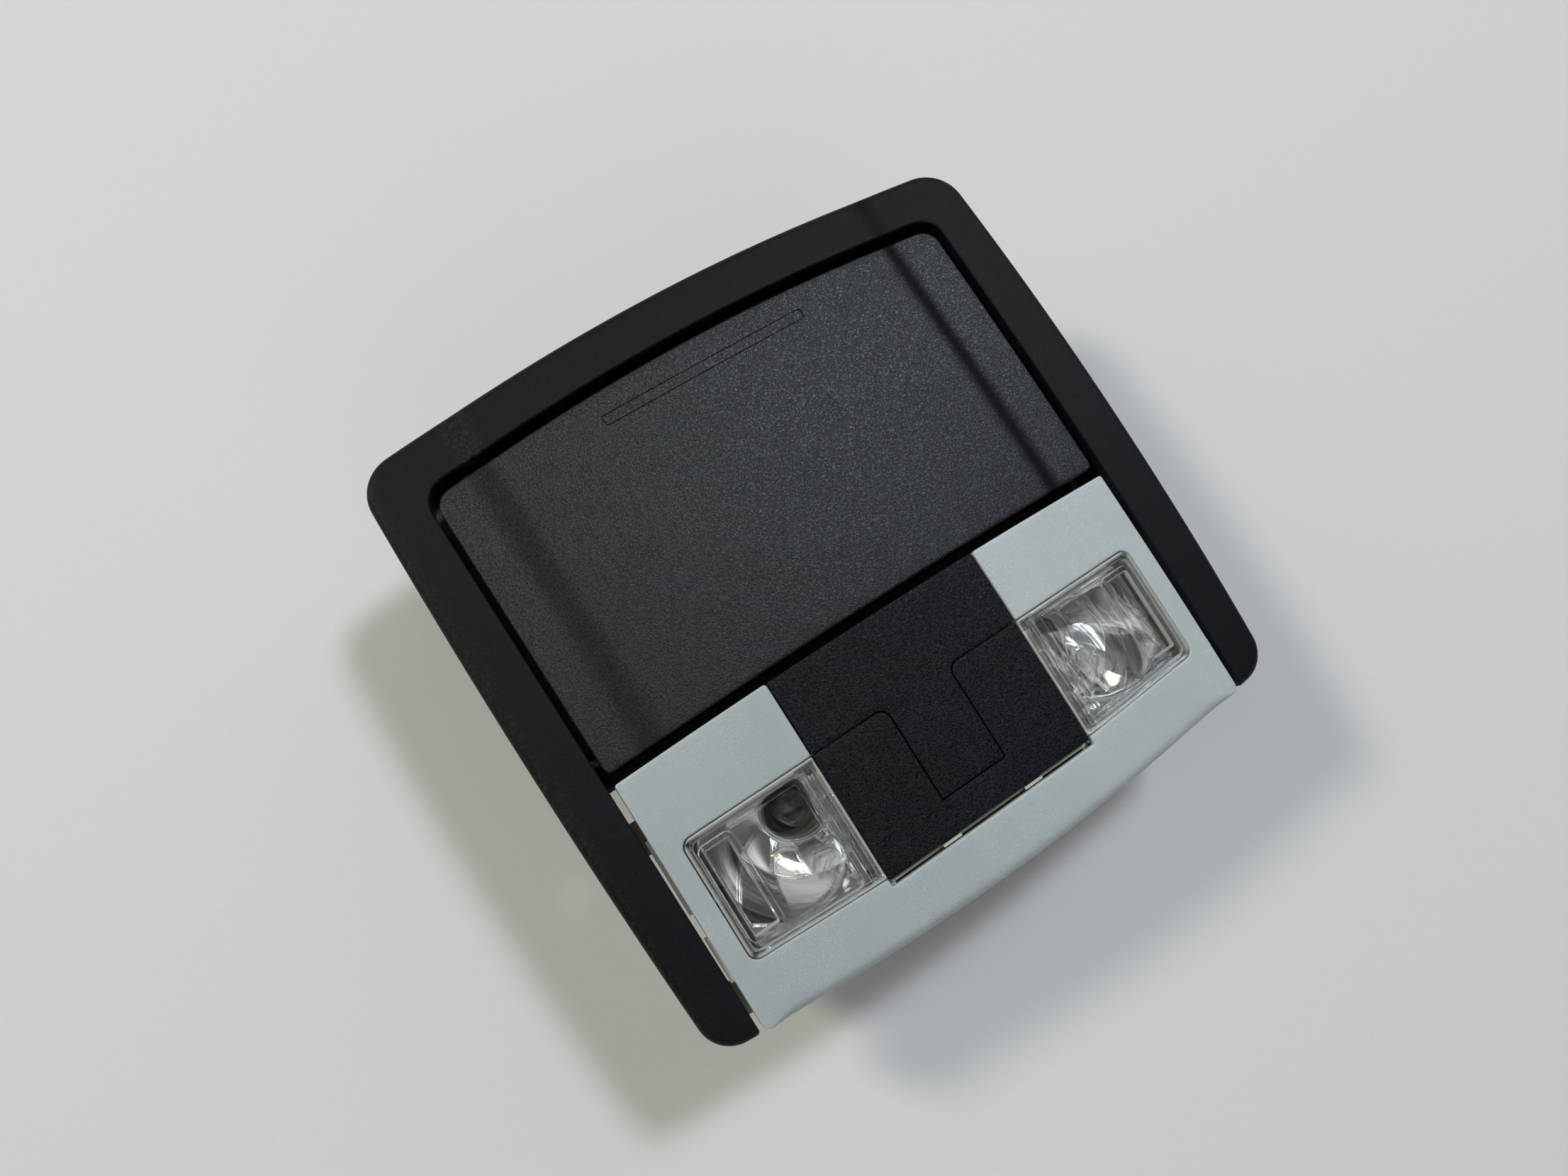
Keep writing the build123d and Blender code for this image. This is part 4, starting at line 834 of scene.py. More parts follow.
def door_outline():
    low = (opening_half(DOOR_LOW) - DOOR_SIDE_GAP, DOOR_LOW)
    high = (OPEN_HIGH - DOOR_SIDE_GAP, OPEN_TOP - OPEN_SAG - DOOR_TOP_GAP)
    bottom = arc(FLIP * low, (0, DOOR_LOW_MIDDLE), low)
    top = arc(high, (0, OPEN_TOP - DOOR_TOP_GAP), FLIP * high)
    side = line(low, high)
    return outline([bottom, side, top, across(side)], DOOR_CORNERS, 10)[0]


def groove_rings():
    """The push mark's groove, from the bar in its middle out to the door's face."""
    mark = rounded_rect(MARK_LOW, MARK_HIGH, MARK_CORNER, 1.2, 7)
    steps = ((GROOVE_WIDTH, 0.0), (GROOVE_WIDTH - GROOVE_DRAFT, GROOVE_DEPTH),
             (GROOVE_DRAFT, GROOVE_DEPTH), (0.0, 0.0))
    return [drape(inwards(mark, inset), sunk(DOOR_RECESS + drop)) for inset, drop in steps]


def door_skin():
    top, low = sunk(DOOR_RECESS), sunk(DOOR_RECESS + WALL)
    plan = door_outline()
    skin = Skin()
    rows = skin.strips(rolled(partial(inwards, plan), DOOR_ROLL, top, 5) + [drape(plan, low)])
    groove_rows = skin.strips(groove_rings())
    skin.cap([rows[0], groove_rows[-1], groove_rows[0]], 1.9, top)
    skin.cap([rows[-1]], 4.0, low, upwards=False)
    under_parts(skin, "bin_door", DOOR_RECESS + WALL)
    return skin.mesh("bin_door_skin")


place(door_skin(), DOOR, "bin_door")

# %% [markdown]
# ## Frosted lens
# One milky moulding wraps both lamps and the switch panel. Its lower edge rolls over a long way, its sides
# go down behind the bezel's arms, and it is cut out for the panel and for a window on each side. Booleans
# would leave ragged edges on the dome, so all of it is one outline. The skirt is notched where the lamp
# housing's tabs come through.

# %% Frosted lens skin
LENS_HALF, LENS_TOP, LENS_TOP_SAG, LENS_WALL = 82.1, -15.0, 1.5, 1.8
CENTRE_HALF, CENTRE_BOTTOM, LENS_ARM_X = 34.8, -78.3, 58.0
WINDOW_OUTER, WINDOW_TOP, WINDOW_LOW_IN, WINDOW_LOW_OUT = 75.9, -37.8, -76.0, -73.9
HALF_CORNERS, FOOT_CORNERS = [1.0, 0.6, 3.0, 3.0, 0.6, 0.6], [0.8, 2.6, 2.6, 0.8]
LENS_ROLL, LOW_ROLL, ROLL_FROM, ROLL_FULL = 0.45, 3.4, LENS_HALF - 0.5, LENS_HALF - 9.0
SKIRT_FOOT, TAB_TOP, TAB_SPANS, SIDE_WITHIN = -1.5, 2.4, ((-55.5, -32.5), (-75.5, -61.5)), 0.2
CUT_SIDES, OUTER_SIDES = 13, 3


def lens_top(x):
    return LENS_TOP - LENS_TOP_SAG * (x / LENS_HALF) ** 2


def lens_outline():
    low, corner = (LENS_HALF, lower_edge(LENS_HALF)), (LENS_HALF, lens_top(LENS_HALF))
    stops = [(CENTRE_HALF, lens_top(CENTRE_HALF)), (CENTRE_HALF, WINDOW_TOP), (WINDOW_OUTER, WINDOW_TOP),
             (WINDOW_OUTER, WINDOW_LOW_OUT), (CENTRE_HALF, WINDOW_LOW_IN), (CENTRE_HALF, CENTRE_BOTTOM)]
    right = [arc(corner, (LENS_ARM_X, lens_top(LENS_ARM_X)), stops[0])]
    right += [line(a, b) for a, b in zip(stops, stops[1:])]
    middle = line(stops[-1], FLIP * stops[-1])
    left = [across(path) for path in right[::-1]]
    right_side = line(low, corner, 0.5)
    bottom = arc(FLIP * low, (0, BOTTOM), low)
    sides = right + [middle] + left + [across(right_side), bottom, right_side]
    return outline(sides, HALF_CORNERS + HALF_CORNERS[::-1] + FOOT_CORNERS, 9)


def lens_skin():
    plan, tags = lens_outline()
    x, y = np.abs(plan[:, 0]), plan[:, 1]
    roll = by_side(tags, [LENS_ROLL] * (CUT_SIDES + 1) + [LOW_ROLL, LENS_ROLL])
    roll = np.minimum(roll, LENS_ROLL + (LOW_ROLL - LENS_ROLL) * smooth(ROLL_FROM, ROLL_FULL, x))
    outer = by_side(tags, [0.0] * CUT_SIDES + [1.0] * OUTER_SIDES) > 0.5
    at_tab = np.any([(y > low) & (y < high) for low, high in TAB_SPANS], axis=0)
    skirt_z = np.where(at_tab & (x > LENS_HALF - SIDE_WITHIN), TAB_TOP, SKIRT_FOOT)
    under = inwards(plan, LENS_WALL)
    under_z = face(*under.T, WALL)
    rings = rolled(partial(inwards, plan), roll, face, 7)
    rings += [lift(plan, np.where(outer, skirt_z, face(*plan.T, WALL))),
              lift(under, np.where(outer, skirt_z, under_z)), lift(under, under_z)]
    skin = Skin()
    skin.shell(rings, face, sunk(WALL), fine=1.7)
    return skin.mesh("frosted_lens_skin")


place(lens_skin(), FROST, "frosted_lens")

# %% [markdown]
# ## Relief of the map lenses
# Each clear lens is a small piece of moulded relief: a raised border, a lower field with a bead round it,
# a finger pocket inside its own ridge, and a narrow strip with two rails beside the switch panel. Sculpting
# would give soft steps. Distances to rounded boxes give every step the same crisp, polished flank.

# %% Map lens relief
PANEL_HALF, MAP_RAISE, STRIP_WIDTH = 34.4, 0.3, 4.4
STRIP_EDGE = PANEL_HALF + STRIP_WIDTH
FIELD_IN, FIELD_OUT, FIELD_BORDER, FIELD_CORNER = STRIP_EDGE + 1.5, WINDOW_OUTER - 2.0, 2.0, 2.2
FIELD_DEPTH, FIELD_FLANK, FIELD_MIDDLE, TILT_FROM, TILT_FULL = 0.85, 0.25, 55.0, -40.0, -74.0
FIELD_BEAD_IN, FIELD_BEAD_HALF, FIELD_BEAD_HEIGHT = 1.6, 0.6, 0.25
POCKET, POCKET_CORNER, POCKET_DEPTH, POCKET_WALL = (64.1, 72.1, -68.9, -43.0), 1.0, 1.05, 0.7
POCKET_RIDGE, RIDGE_OUT, RIDGE_IN = 0.25, 1.45, 1.1
RAILS, RAIL_HALF = ((1.7, 0.5), (3.2, 0.45)), 0.45
STRIP_DEPTH, STRIP_FROM, STRIP_FULL = 0.5, STRIP_EDGE + 0.25, STRIP_EDGE - 0.35
BUBBLES, BUBBLE_HEIGHT = ((37.0, -72.0, 0.7), (36.6, -69.6, 0.6)), 0.35
NOTCH_Y, NOTCH_DEPTH, NOTCH_HALF = -49.0, 0.35, 0.5
RAIL_BREAK, BREAK_HALF = 0.8, 0.6
END_WALL, END_FROM, END_FULL, END_MIDDLE = 0.6, 0.9, 1.7, 36.0


def box_distance(x, y, x0, x1, y0, y1, radius):
    """Distance outside a rounded box, negative inside."""
    qx = np.abs(x - (x0 + x1) / 2) - (x1 - x0) / 2 + radius
    qy = np.abs(y - (y0 + y1) / 2) - (y1 - y0) / 2 + radius
    outside = np.hypot(np.maximum(qx, 0), np.maximum(qy, 0))
    return outside + np.minimum(np.maximum(qx, qy), 0) - radius


def window_low(x):
    """The slanting lower edge of a window."""
    part = (x - CENTRE_HALF) / (WINDOW_OUTER - CENTRE_HALF)
    return WINDOW_LOW_IN + (WINDOW_LOW_OUT - WINDOW_LOW_IN) * part


def ridge(distance, half):
    """A rounded ridge along a line, 1 on its crest."""
    return np.cos(np.clip(distance / half, -1, 1) * math.pi / 2) ** 2


def strip_relief(x, y):
    """The strip beside the panel: two rails with a notch, two bubbles and a wall at each end."""
    rails = sum(high * ridge(x - PANEL_HALF - at, RAIL_HALF) for at, high in RAILS)
    bubbles = sum(ridge(np.hypot(x - at_x, y - at_y), half) for at_x, at_y, half in BUBBLES)
    low_end = window_low(END_MIDDLE)
    ends = smooth(WINDOW_TOP - END_FROM, WINDOW_TOP - END_FULL, y)
    ends = ends * smooth(low_end + END_FROM, low_end + END_FULL, y)
    notch = NOTCH_DEPTH * ridge(y - NOTCH_Y, NOTCH_HALF)
    raised = rails * (1 - RAIL_BREAK * ridge(y - NOTCH_Y, BREAK_HALF)) + BUBBLE_HEIGHT * bubbles - notch
    return -STRIP_DEPTH + raised * ends + END_WALL * (1 - ends)


def map_relief(x, y):
    """Height of the clear lens above the domed face, for the right-hand lens."""
    x = np.abs(x)
    low = window_low(FIELD_MIDDLE)
    tilt = y - (window_low(x) - low) * smooth(TILT_FROM, TILT_FULL, y)
    field = box_distance(x, tilt, FIELD_IN, FIELD_OUT, low + FIELD_BORDER, WINDOW_TOP - FIELD_BORDER,
                         FIELD_CORNER)
    height = MAP_RAISE - FIELD_DEPTH * smooth(FIELD_FLANK, -FIELD_FLANK, field)
    height = height + FIELD_BEAD_HEIGHT * ridge(field + FIELD_BEAD_IN, FIELD_BEAD_HALF)
    pocket = box_distance(x, y, *POCKET, POCKET_CORNER)
    height = height + (MAP_RAISE + POCKET_RIDGE - height) * smooth(RIDGE_OUT, RIDGE_IN, pocket)
    height = height + (-POCKET_DEPTH - height) * smooth(0.0, -POCKET_WALL, pocket)
    return height + (strip_relief(x, y) - height) * smooth(STRIP_FROM, STRIP_FULL, x)


sample_spots = np.array([[36.0, -60.0], [50.0, -60.0], [68.0, -60.0], [75.0, -60.0]])
print("relief on the strip, field, pocket and border:", map_relief(*sample_spots.T).round(2))

# %% [markdown]
# ## Points along the relief
# A grid of triangles would cut across the steps of the relief and leave saw teeth on their edges. A much
# finer grid would cost too many triangles. So extra points follow every step on both sides of its flank,
# and the mesh gets an edge where each flank begins and ends.

# %% Points along every step
STEP_SPACING, NEAREST = 0.3, 0.13
POCKET_STEPS = (-0.9, -0.7, -0.53, -0.35, -0.17, 0.0, 0.15, 0.6, 0.95, 1.1, 1.22, 1.34, 1.45, 1.6)
FIELD_STEPS = (-0.5, -0.25, -0.08, 0.08, 0.25, 0.5, 1.0, 1.2, 1.4, 1.6, 1.8, 2.0, 2.2)
RAIL_STEPS = (-0.45, -0.3, -0.15, 0.0, 0.15, 0.3, 0.45)
STRIP_STEPS = (-0.35, -0.2, -0.05, 0.1, 0.25)


def pocket_line(out):
    """A line round the finger pocket, out from its edge."""
    x0, x1, y0, y1 = POCKET
    corner = max(POCKET_CORNER + out, 0.12)
    return rounded_rect((x0 - out, y0 - out), (x1 + out, y1 + out), corner, STEP_SPACING, 16)


def field_line(inset):
    """A line round the field, in from its edge."""
    x0, x1, top = FIELD_IN + inset, FIELD_OUT - inset, WINDOW_TOP - FIELD_BORDER - inset
    low_in, low_out = (window_low(x) + FIELD_BORDER + inset for x in (FIELD_IN, FIELD_OUT))
    sides = closed_lines([(x0, low_in), (x1, low_out), (x1, top), (x0, top)], STEP_SPACING)
    return outline(sides, [max(FIELD_CORNER - inset, 0.4)] * 4, 14)[0]


def relief_points():
    """Points along every step, none nearer to the next than the mesh can use."""
    parts = [pocket_line(out) for out in POCKET_STEPS] + [field_line(inset) for inset in FIELD_STEPS]
    ups = np.arange(window_low(END_MIDDLE), WINDOW_TOP, STEP_SPACING)
    rails = [PANEL_HALF + at + d for at, _ in RAILS for d in RAIL_STEPS]
    for x in rails + [STRIP_EDGE + d for d in STRIP_STEPS]:
        parts.append(np.stack([np.full(len(ups), x), ups], 1))
    points = np.vstack(parts)
    squares = np.round(points / NEAREST).astype(int)
    _, first = np.unique(squares, axis=0, return_index=True)
    return points[np.sort(first)]


print("the relief is followed by", len(relief_points()), "points")

# %% [markdown]
# ## Map lenses
# The lens itself is the relief over a rounded border, a wall and a low skirt that stiffens it from below.
# The outline is drawn anew for every ring, because moving its points inwards would fold its tight corners.
# Each point then carries how much painted highlight it gets: fully at the rim and mostly on the steep flanks.

# %% Map lens skins
MAP_GAP, MAP_THICK, MAP_ROLL = 0.35, 2.0, 0.45
MAP_DROP = MAP_THICK - MAP_RAISE
SKIRT_STEPS = ((0.0, 0.0), (0.3, 0.1), (0.3, 0.85), (0.45, 1.0), (1.25, 1.0), (1.4, 0.85), (1.5, 0.15),
               (1.7, 0.0))
WIDE_CORNER, TIGHT_CORNER = 2.8, 0.6
RIM_FULL, RIM_NONE, TOP_BAND = 0.5, 1.3, 0.1
FLANK_HIGHLIGHT, FLANK_REACH, FLANK_FROM, FLANK_FULL = 0.8, 0.04, 0.9, 3.2


def map_outline(inset):
    """The clear lens's outline, drawn in by an inset, with the same points at every inset."""
    inner, outer = PANEL_HALF + MAP_GAP + inset, WINDOW_OUTER - MAP_GAP - inset
    low_in, low_out = (window_low(x) + MAP_GAP + inset for x in (inner, outer))
    top = WINDOW_TOP - MAP_GAP - inset
    sides = closed_lines([(inner, low_in), (outer, low_out), (outer, top), (inner, top)])
    wide, tight = max(WIDE_CORNER - inset, 0.5), max(TIGHT_CORNER - inset, 0.12)
    return outline(sides, [wide, wide, tight, tight], 13, 96)[0]


def map_top(x, y):
    return face(x, y) + map_relief(x, y)


def flank(x, y):
    """1 on the steep flanks of the relief and 0 on its flats."""
    across_x = map_relief(x + FLANK_REACH, y) - map_relief(x - FLANK_REACH, y)
    along_y = map_relief(x, y + FLANK_REACH) - map_relief(x, y - FLANK_REACH)
    return smooth(FLANK_FROM, FLANK_FULL, np.hypot(across_x, along_y) / (2 * FLANK_REACH))


def painted_highlight(x, y, z):
    """How much painted highlight, a pale white, the clear lens gets at a point."""
    x = np.abs(x)
    depth = np.minimum.reduce([x - PANEL_HALF, WINDOW_OUTER - x, WINDOW_TOP - y, y - window_low(x)])
    on_top = z > face(x, y, MAP_DROP - TOP_BAND)
    return np.maximum(1 - smooth(RIM_FULL, RIM_NONE, depth), FLANK_HIGHLIGHT * flank(x, y) * on_top)


def map_lens_skin(node, side):
    rings = rolled(map_outline, MAP_ROLL, map_top)
    rings += [drape(map_outline(inset), sunk(MAP_DROP), down) for inset, down in SKIRT_STEPS]
    skin = Skin()
    skin.shell(rings, map_top, sunk(MAP_DROP), fine=0.8, coarse=2.0, extra=relief_points())
    if side < 0:
        skin.mirror()
    under_parts(skin, node, MAP_DROP)
    mesh = skin.mesh(node + "_skin", 60.0)
    carry(mesh, "rim", painted_highlight)
    return mesh


for name, side in SIDES:
    place(map_lens_skin(f"map_lens_{name}", side), CLEAR, f"map_lens_{name}")

# %% [markdown]
# ## Switch panel and rocker
# The panel is T shaped and its tongue reaches down between the two pads of the rocker. Both are the same
# pebbled black; only a hairline shows where one ends and the other begins. They are two plates of one
# kind, so one function makes both from their outlines and keeps the hairline a real gap.

# %% Panel and rocker skins
PANEL_DROP, PLATE_ROLL, SPLIT_Y, SPLIT = 0.3, 0.3, -37.7, 0.35
TONGUE_HALF, TONGUE_END, ROCKER_BOTTOM, ROCKER_GAP = 10.5, -66.9, -76.6, 0.05
PLATE_CORNER, PANEL_INNER, ROCKER_INNER = 0.5, 3.3, 3.0


def plate(node, plan):
    """A plate on the panel's face with a fine rounded edge, and its legs."""
    top, low = sunk(PANEL_DROP), sunk(PANEL_DROP + WALL)
    skin = Skin()
    rings = rolled(partial(inwards, plan), PLATE_ROLL, top, 4) + [drape(plan, low)]
    skin.shell(rings, top, low, fine=1.8)
    under_parts(skin, node, PANEL_DROP + WALL)
    return skin.mesh(node + "_skin")


def panel_outline():
    tongue = [(TONGUE_HALF, TONGUE_END), (TONGUE_HALF, SPLIT_Y), (PANEL_HALF, SPLIT_Y),
              (PANEL_HALF, lens_top(PANEL_HALF))]
    right = [line(a, b) for a, b in zip(tongue, tongue[1:])]
    left = [across(path) for path in right[::-1]]
    end = line(FLIP * tongue[0], tongue[0])
    top = arc(tongue[-1], (0, LENS_TOP), FLIP * tongue[-1])
    radii = [PLATE_CORNER] * 8
    radii[0] = radii[3] = PANEL_INNER
    return outline(left[1:] + [end] + right + [top, left[0]], radii, 7)[0]


def rocker_outline():
    pads_top, half = SPLIT_Y - SPLIT, PANEL_HALF - ROCKER_GAP
    slot, slot_end = TONGUE_HALF + SPLIT, TONGUE_END - SPLIT
    corners = [(-half, ROCKER_BOTTOM), (half, ROCKER_BOTTOM), (half, pads_top), (slot, pads_top),
               (slot, slot_end), (-slot, slot_end), (-slot, pads_top), (-half, pads_top)]
    radii = [PLATE_CORNER] * 8
    radii[2] = radii[5] = ROCKER_INNER
    return outline(closed_lines(corners), radii, 7)[0]


for node, plan in (("switch_panel", panel_outline()), ("dome_rocker", rocker_outline())):
    place(plate(node, plan), SWITCHES, node)

# %% [markdown]
# ## Dish of the reflectors
# Behind each clear lens is a bright cup with a round dish. The dish is not smooth: it is made of
# kite-shaped pillows that fan out from the bulb and break the lamp's light into soft patches. They could
# be modelled one by one. As a formula, the height of the dish is read at the corners of each pillow,
# blended across it and bulged a little, and the fan can be changed with one number.

# %% Dish with pillows
DISH_X, DISH_Y, DISH_RADIUS, DISH_FLOOR, DISH_LAND = 57.3, -50.4, 22.3, -15.0, -0.6
BULB_X, BULB_Y, BULB_HOLE = 44.0, -47.6, 8.2
FAN, ROWS, RING_START, RING_STEP, TWIST, PILLOW = 12, 3, 8.2, 10.5, 0.45, 0.12
FULL_TURN = 2 * math.pi
RIM_IN, RIM_OUT, EDGE_SPACING = DISH_RADIUS - 0.3, DISH_RADIUS + 0.5, 0.22


def bowl(x, y):
    """The smooth dish, which goes on rising past its rim."""
    r = np.hypot(x - DISH_X, y - DISH_Y)
    return DISH_FLOOR + (DISH_LAND - DISH_FLOOR) * (r / DISH_RADIUS) ** 2


def facets(x, y):
    """The dish broken into pillows that fan out from the bulb in curved rows."""
    dx, dy = x - BULB_X, y - BULB_Y
    span = np.maximum(np.hypot(dx, dy) - RING_START, 0) / RING_STEP
    turn = np.arctan2(dy, dx) / FULL_TURN * FAN + TWIST * span
    row, column = np.floor(span), np.floor(turn)
    u, v = turn - column, span - row
    total = np.zeros_like(x)
    for cv, across_v in ((0, 1 - v), (1, v)):
        for cu, across_u in ((0, 1 - u), (1, u)):
            a = (column + cu - TWIST * (row + cv)) / FAN * FULL_TURN
            r = RING_START + (row + cv) * RING_STEP
            total += across_u * across_v * bowl(BULB_X + r * np.cos(a), BULB_Y + r * np.sin(a))
    return total + PILLOW * 16 * u * (1 - u) * v * (1 - v)


def facet_edges():
    """Points along the edges of the pillows, so that the mesh has an edge where each of them ends."""
    points = []
    for row in range(1, ROWS + 1):
        r = RING_START + row * RING_STEP
        points.append(circle(BULB_X, BULB_Y, r, np.arange(0, FULL_TURN, EDGE_SPACING / r)))
    reach = np.arange(RING_START + 0.6, RING_START + (ROWS + 0.2) * RING_STEP, EDGE_SPACING)
    for column in range(FAN):
        turn = (column - TWIST * (reach - RING_START) / RING_STEP) / FAN * FULL_TURN
        points.append(circle(BULB_X, BULB_Y, reach, turn))
    rim = np.arange(0, FULL_TURN, EDGE_SPACING / DISH_RADIUS)
    points += [circle(DISH_X, DISH_Y, r, rim) for r in (RIM_IN, RIM_OUT)]
    return np.vstack(points)


print("the pillows' edges have", len(facet_edges()), "points")

# %% [markdown]
# ## Floor of the cup
# Round the dish runs a small bead, and round the bulb hole a collar: both are rolled edges of the real
# pressing, which look satin rather than bright. The land outside the bead is fluted. All are added to the
# height of the dish, and the floor stays under the rim so that the lens has room to tilt.

# %% Floor of the cup
CUP_DROP, LENS_ROOM, DISH_LIMIT = 4.6, 0.4, DISH_LAND + 0.5
BEAD_OUT, BEAD_HALF, BEAD_HEIGHT = 0.5, 1.0, 0.5
COLLAR_OUT, COLLAR_HALF, COLLAR_HEIGHT = 0.5, 0.75, 0.7
FLUTES, FLUTE_SWAY, SWAYS, FLUTE_HEIGHT, FLUTE_FROM, FLUTE_FULL = 26, 1.5, 5, 0.16, 0.8, 4.0
LAND_SLOPE = 0.16


def rolled_edges(x, y):
    """1 on the crest of the bead on the dish's rim, and 1 on that of the collar round the bulb hole."""
    bead = ridge(np.hypot(x - DISH_X, y - DISH_Y) - DISH_RADIUS - BEAD_OUT, BEAD_HALF)
    return bead, ridge(np.hypot(x - BULB_X, y - BULB_Y) - BULB_HOLE - COLLAR_OUT, COLLAR_HALF)


def cup_floor(x, y):
    """The faceted dish, a bead on its rim and fluted land outside it."""
    x = np.abs(x)
    r = np.hypot(x - DISH_X, y - DISH_Y)
    angle = np.arctan2(y - DISH_Y, x - DISH_X)
    flutes = FLUTE_HEIGHT * np.sin(angle * FLUTES + FLUTE_SWAY * np.sin(angle * SWAYS))
    past = r - DISH_RADIUS
    land = DISH_LAND + LAND_SLOPE * past + flutes * smooth(FLUTE_FROM, FLUTE_FULL, past)
    part = smooth(RIM_IN, RIM_OUT, r)
    bead, collar = rolled_edges(x, y)
    height = np.minimum(facets(x, y), DISH_LIMIT) * (1 - part) + land * part
    height = height + BEAD_HEIGHT * bead + COLLAR_HEIGHT * collar
    return np.minimum(height, face(x, y, CUP_DROP + LENS_ROOM))


dish_middle = cup_floor(np.array([DISH_X]), np.array([DISH_Y]))[0]
print("the cup's floor lies at", round(dish_middle, 2), "in the middle of the dish")

# %% [markdown]
# ## Reflectors
# The cup has a thin rim, straight walls, the faceted floor and a plain back, and a narrow ledge beside it
# carries the inner edge of the lens. It is built like the other skins, from rings and caps, with a very
# fine floor because a mirror shows every facet of its mesh. Each point carries how satin it is.

# %% Reflector skins
CUP, CUP_CORNER, CUP_WALL = (38.4, 72.0, -75.2, -38.7), 3.0, 1.2
CUP_ROLL, FLOOR_ROUND, FLOOR_STEP = 0.3, 0.35, 0.15
LIP_ROUND, LIP_STEP, LIP_DROPS = 0.35, 0.15, (0.12, 0.5, 1.6)
LEDGE, LEDGE_CORNER, LEDGE_ROLL = (35.1, 39.0, -71.5, -42.0), 0.5, 0.2
LEDGE_DROP, LEDGE_THICK = 5.2, 0.9


def cup_back(x, y):
    return np.minimum(bowl(x, y), DISH_LAND) - CUP_WALL


def cup_rings():
    """From the edge of the floor up the inner wall, over the rim and down to the back."""
    outer = rounded_rect(CUP[0::2], CUP[1::2], CUP_CORNER, 0.8, 7)
    at = partial(inwards, outer)
    floor = at(CUP_WALL + FLOOR_ROUND)
    floor_z = cup_floor(floor[:, 0], floor[:, 1])
    in_z, rim_z = (face(*at(inset).T, CUP_DROP) for inset in (CUP_WALL, 0.0))
    return [lift(floor, floor_z), lift(at(CUP_WALL + FLOOR_STEP), floor_z + FLOOR_ROUND),
            lift(at(CUP_WALL), in_z - CUP_ROLL), lift(at(CUP_WALL - CUP_ROLL), in_z),
            lift(at(CUP_ROLL), rim_z), lift(outer, rim_z - CUP_ROLL), lift(outer, DISH_LAND - CUP_WALL)]


def hole_rings():
    """The lip of the bulb hole, from the floor down to the back."""
    hole = circle(BULB_X, BULB_Y, BULB_HOLE, np.linspace(0, -FULL_TURN, 72, endpoint=False))
    hole_z = cup_floor(hole[:, 0], hole[:, 1])
    plans = (inwards(hole, LIP_STEP), hole, hole)
    lip = [lift(plan, hole_z - drop) for plan, drop in zip(plans, LIP_DROPS)]
    return [drape(inwards(hole, LIP_ROUND), cup_floor)] + lip


def reflector_skin(node, side):
    skin = Skin()
    rows = skin.strips(cup_rings())
    hole_rows = skin.strips(hole_rings())
    skin.cap([rows[0], hole_rows[0]], 0.36, cup_floor, extra=facet_edges())
    skin.cap([rows[-1], hole_rows[-1]], 1.6, cup_back, upwards=False)
    plan = rounded_rect(LEDGE[0::2], LEDGE[1::2], LEDGE_CORNER)
    over, under = sunk(LEDGE_DROP), sunk(LEDGE_DROP + LEDGE_THICK)
    ledge = rolled(partial(inwards, plan), LEDGE_ROLL, over, 3) + [drape(plan, under)]
    skin.shell(ledge, over, under, fine=1.5, coarse=3.0)
    if side < 0:
        skin.mirror()
    mesh = skin.mesh(node + "_skin", 50.0)
    carry(mesh, "satin", lambda x, y, z: np.maximum(*rolled_edges(np.abs(x), y)))
    return mesh


for name, side in SIDES:
    place(reflector_skin(f"reflector_{name}", side), MIRROR, f"reflector_{name}")

# %% [markdown]
# ## Geometry Nodes for what repeats
# A coil, a set of screws and a row of pins repeat one shape along a path or over points. Python could copy
# the meshes, but a Geometry Nodes group says the rule once, with named inputs for its sizes. Each group
# ends by realizing its instances and setting the finish, and is then turned into a plain mesh.

# %% Geometry Nodes helpers
def node_group(name, inputs):
    """A geometry group with named inputs; returns its tree and the sockets of its inputs."""
    tree = bpy.data.node_groups.new(name, "GeometryNodeTree")
    for way in ("INPUT", "OUTPUT"):
        tree.interface.new_socket(name="Geometry", in_out=way, socket_type="NodeSocketGeometry")
    for label, kind in inputs.items():
        tree.interface.new_socket(name=label, in_out="INPUT", socket_type="NodeSocket" + kind)
    return tree, tree.nodes.new("NodeGroupInput").outputs


def step(tree, kind, sockets):
    """One geometry node with its values and links; returns its outputs."""
    made = tree.nodes.new(kind)
    for key, value in sockets.items():
        if isinstance(value, bpy.types.NodeSocket):
            tree.links.new(value, made.inputs[key])
        else:
            made.inputs[key].default_value = value
    return made.outputs


def close(tree, geometry, material):
    """Realizes instances, sets the material and ends the group."""
    real = step(tree, "GeometryNodeRealizeInstances", {"Geometry": geometry})
    dressed = step(tree, "GeometryNodeSetMaterial", {"Geometry": real[0], "Material": material})
    step(tree, "NodeGroupOutput", {0: dressed[0]})
    return tree


def grown(name, base, tree, values):
    """Runs a group on a base mesh with the given inputs and returns the plain mesh it makes."""
    thing = bpy.data.objects.new(name, base)
    bpy.context.scene.collection.objects.link(thing)
    grow = thing.modifiers.new("grow", "NODES")
    grow.node_group = tree
    for item in tree.interface.items_tree:
        if item.in_out == "INPUT" and item.name in values:
            grow[item.identifier] = values[item.name]
    graph = bpy.context.evaluated_depsgraph_get()
    mesh = bpy.data.meshes.new_from_object(thing.evaluated_get(graph), depsgraph=graph)
    bpy.data.objects.remove(thing)
    mesh.name = name
    mesh.shade_smooth()
    mesh.set_sharp_from_angle(angle=math.radians(35))
    return mesh


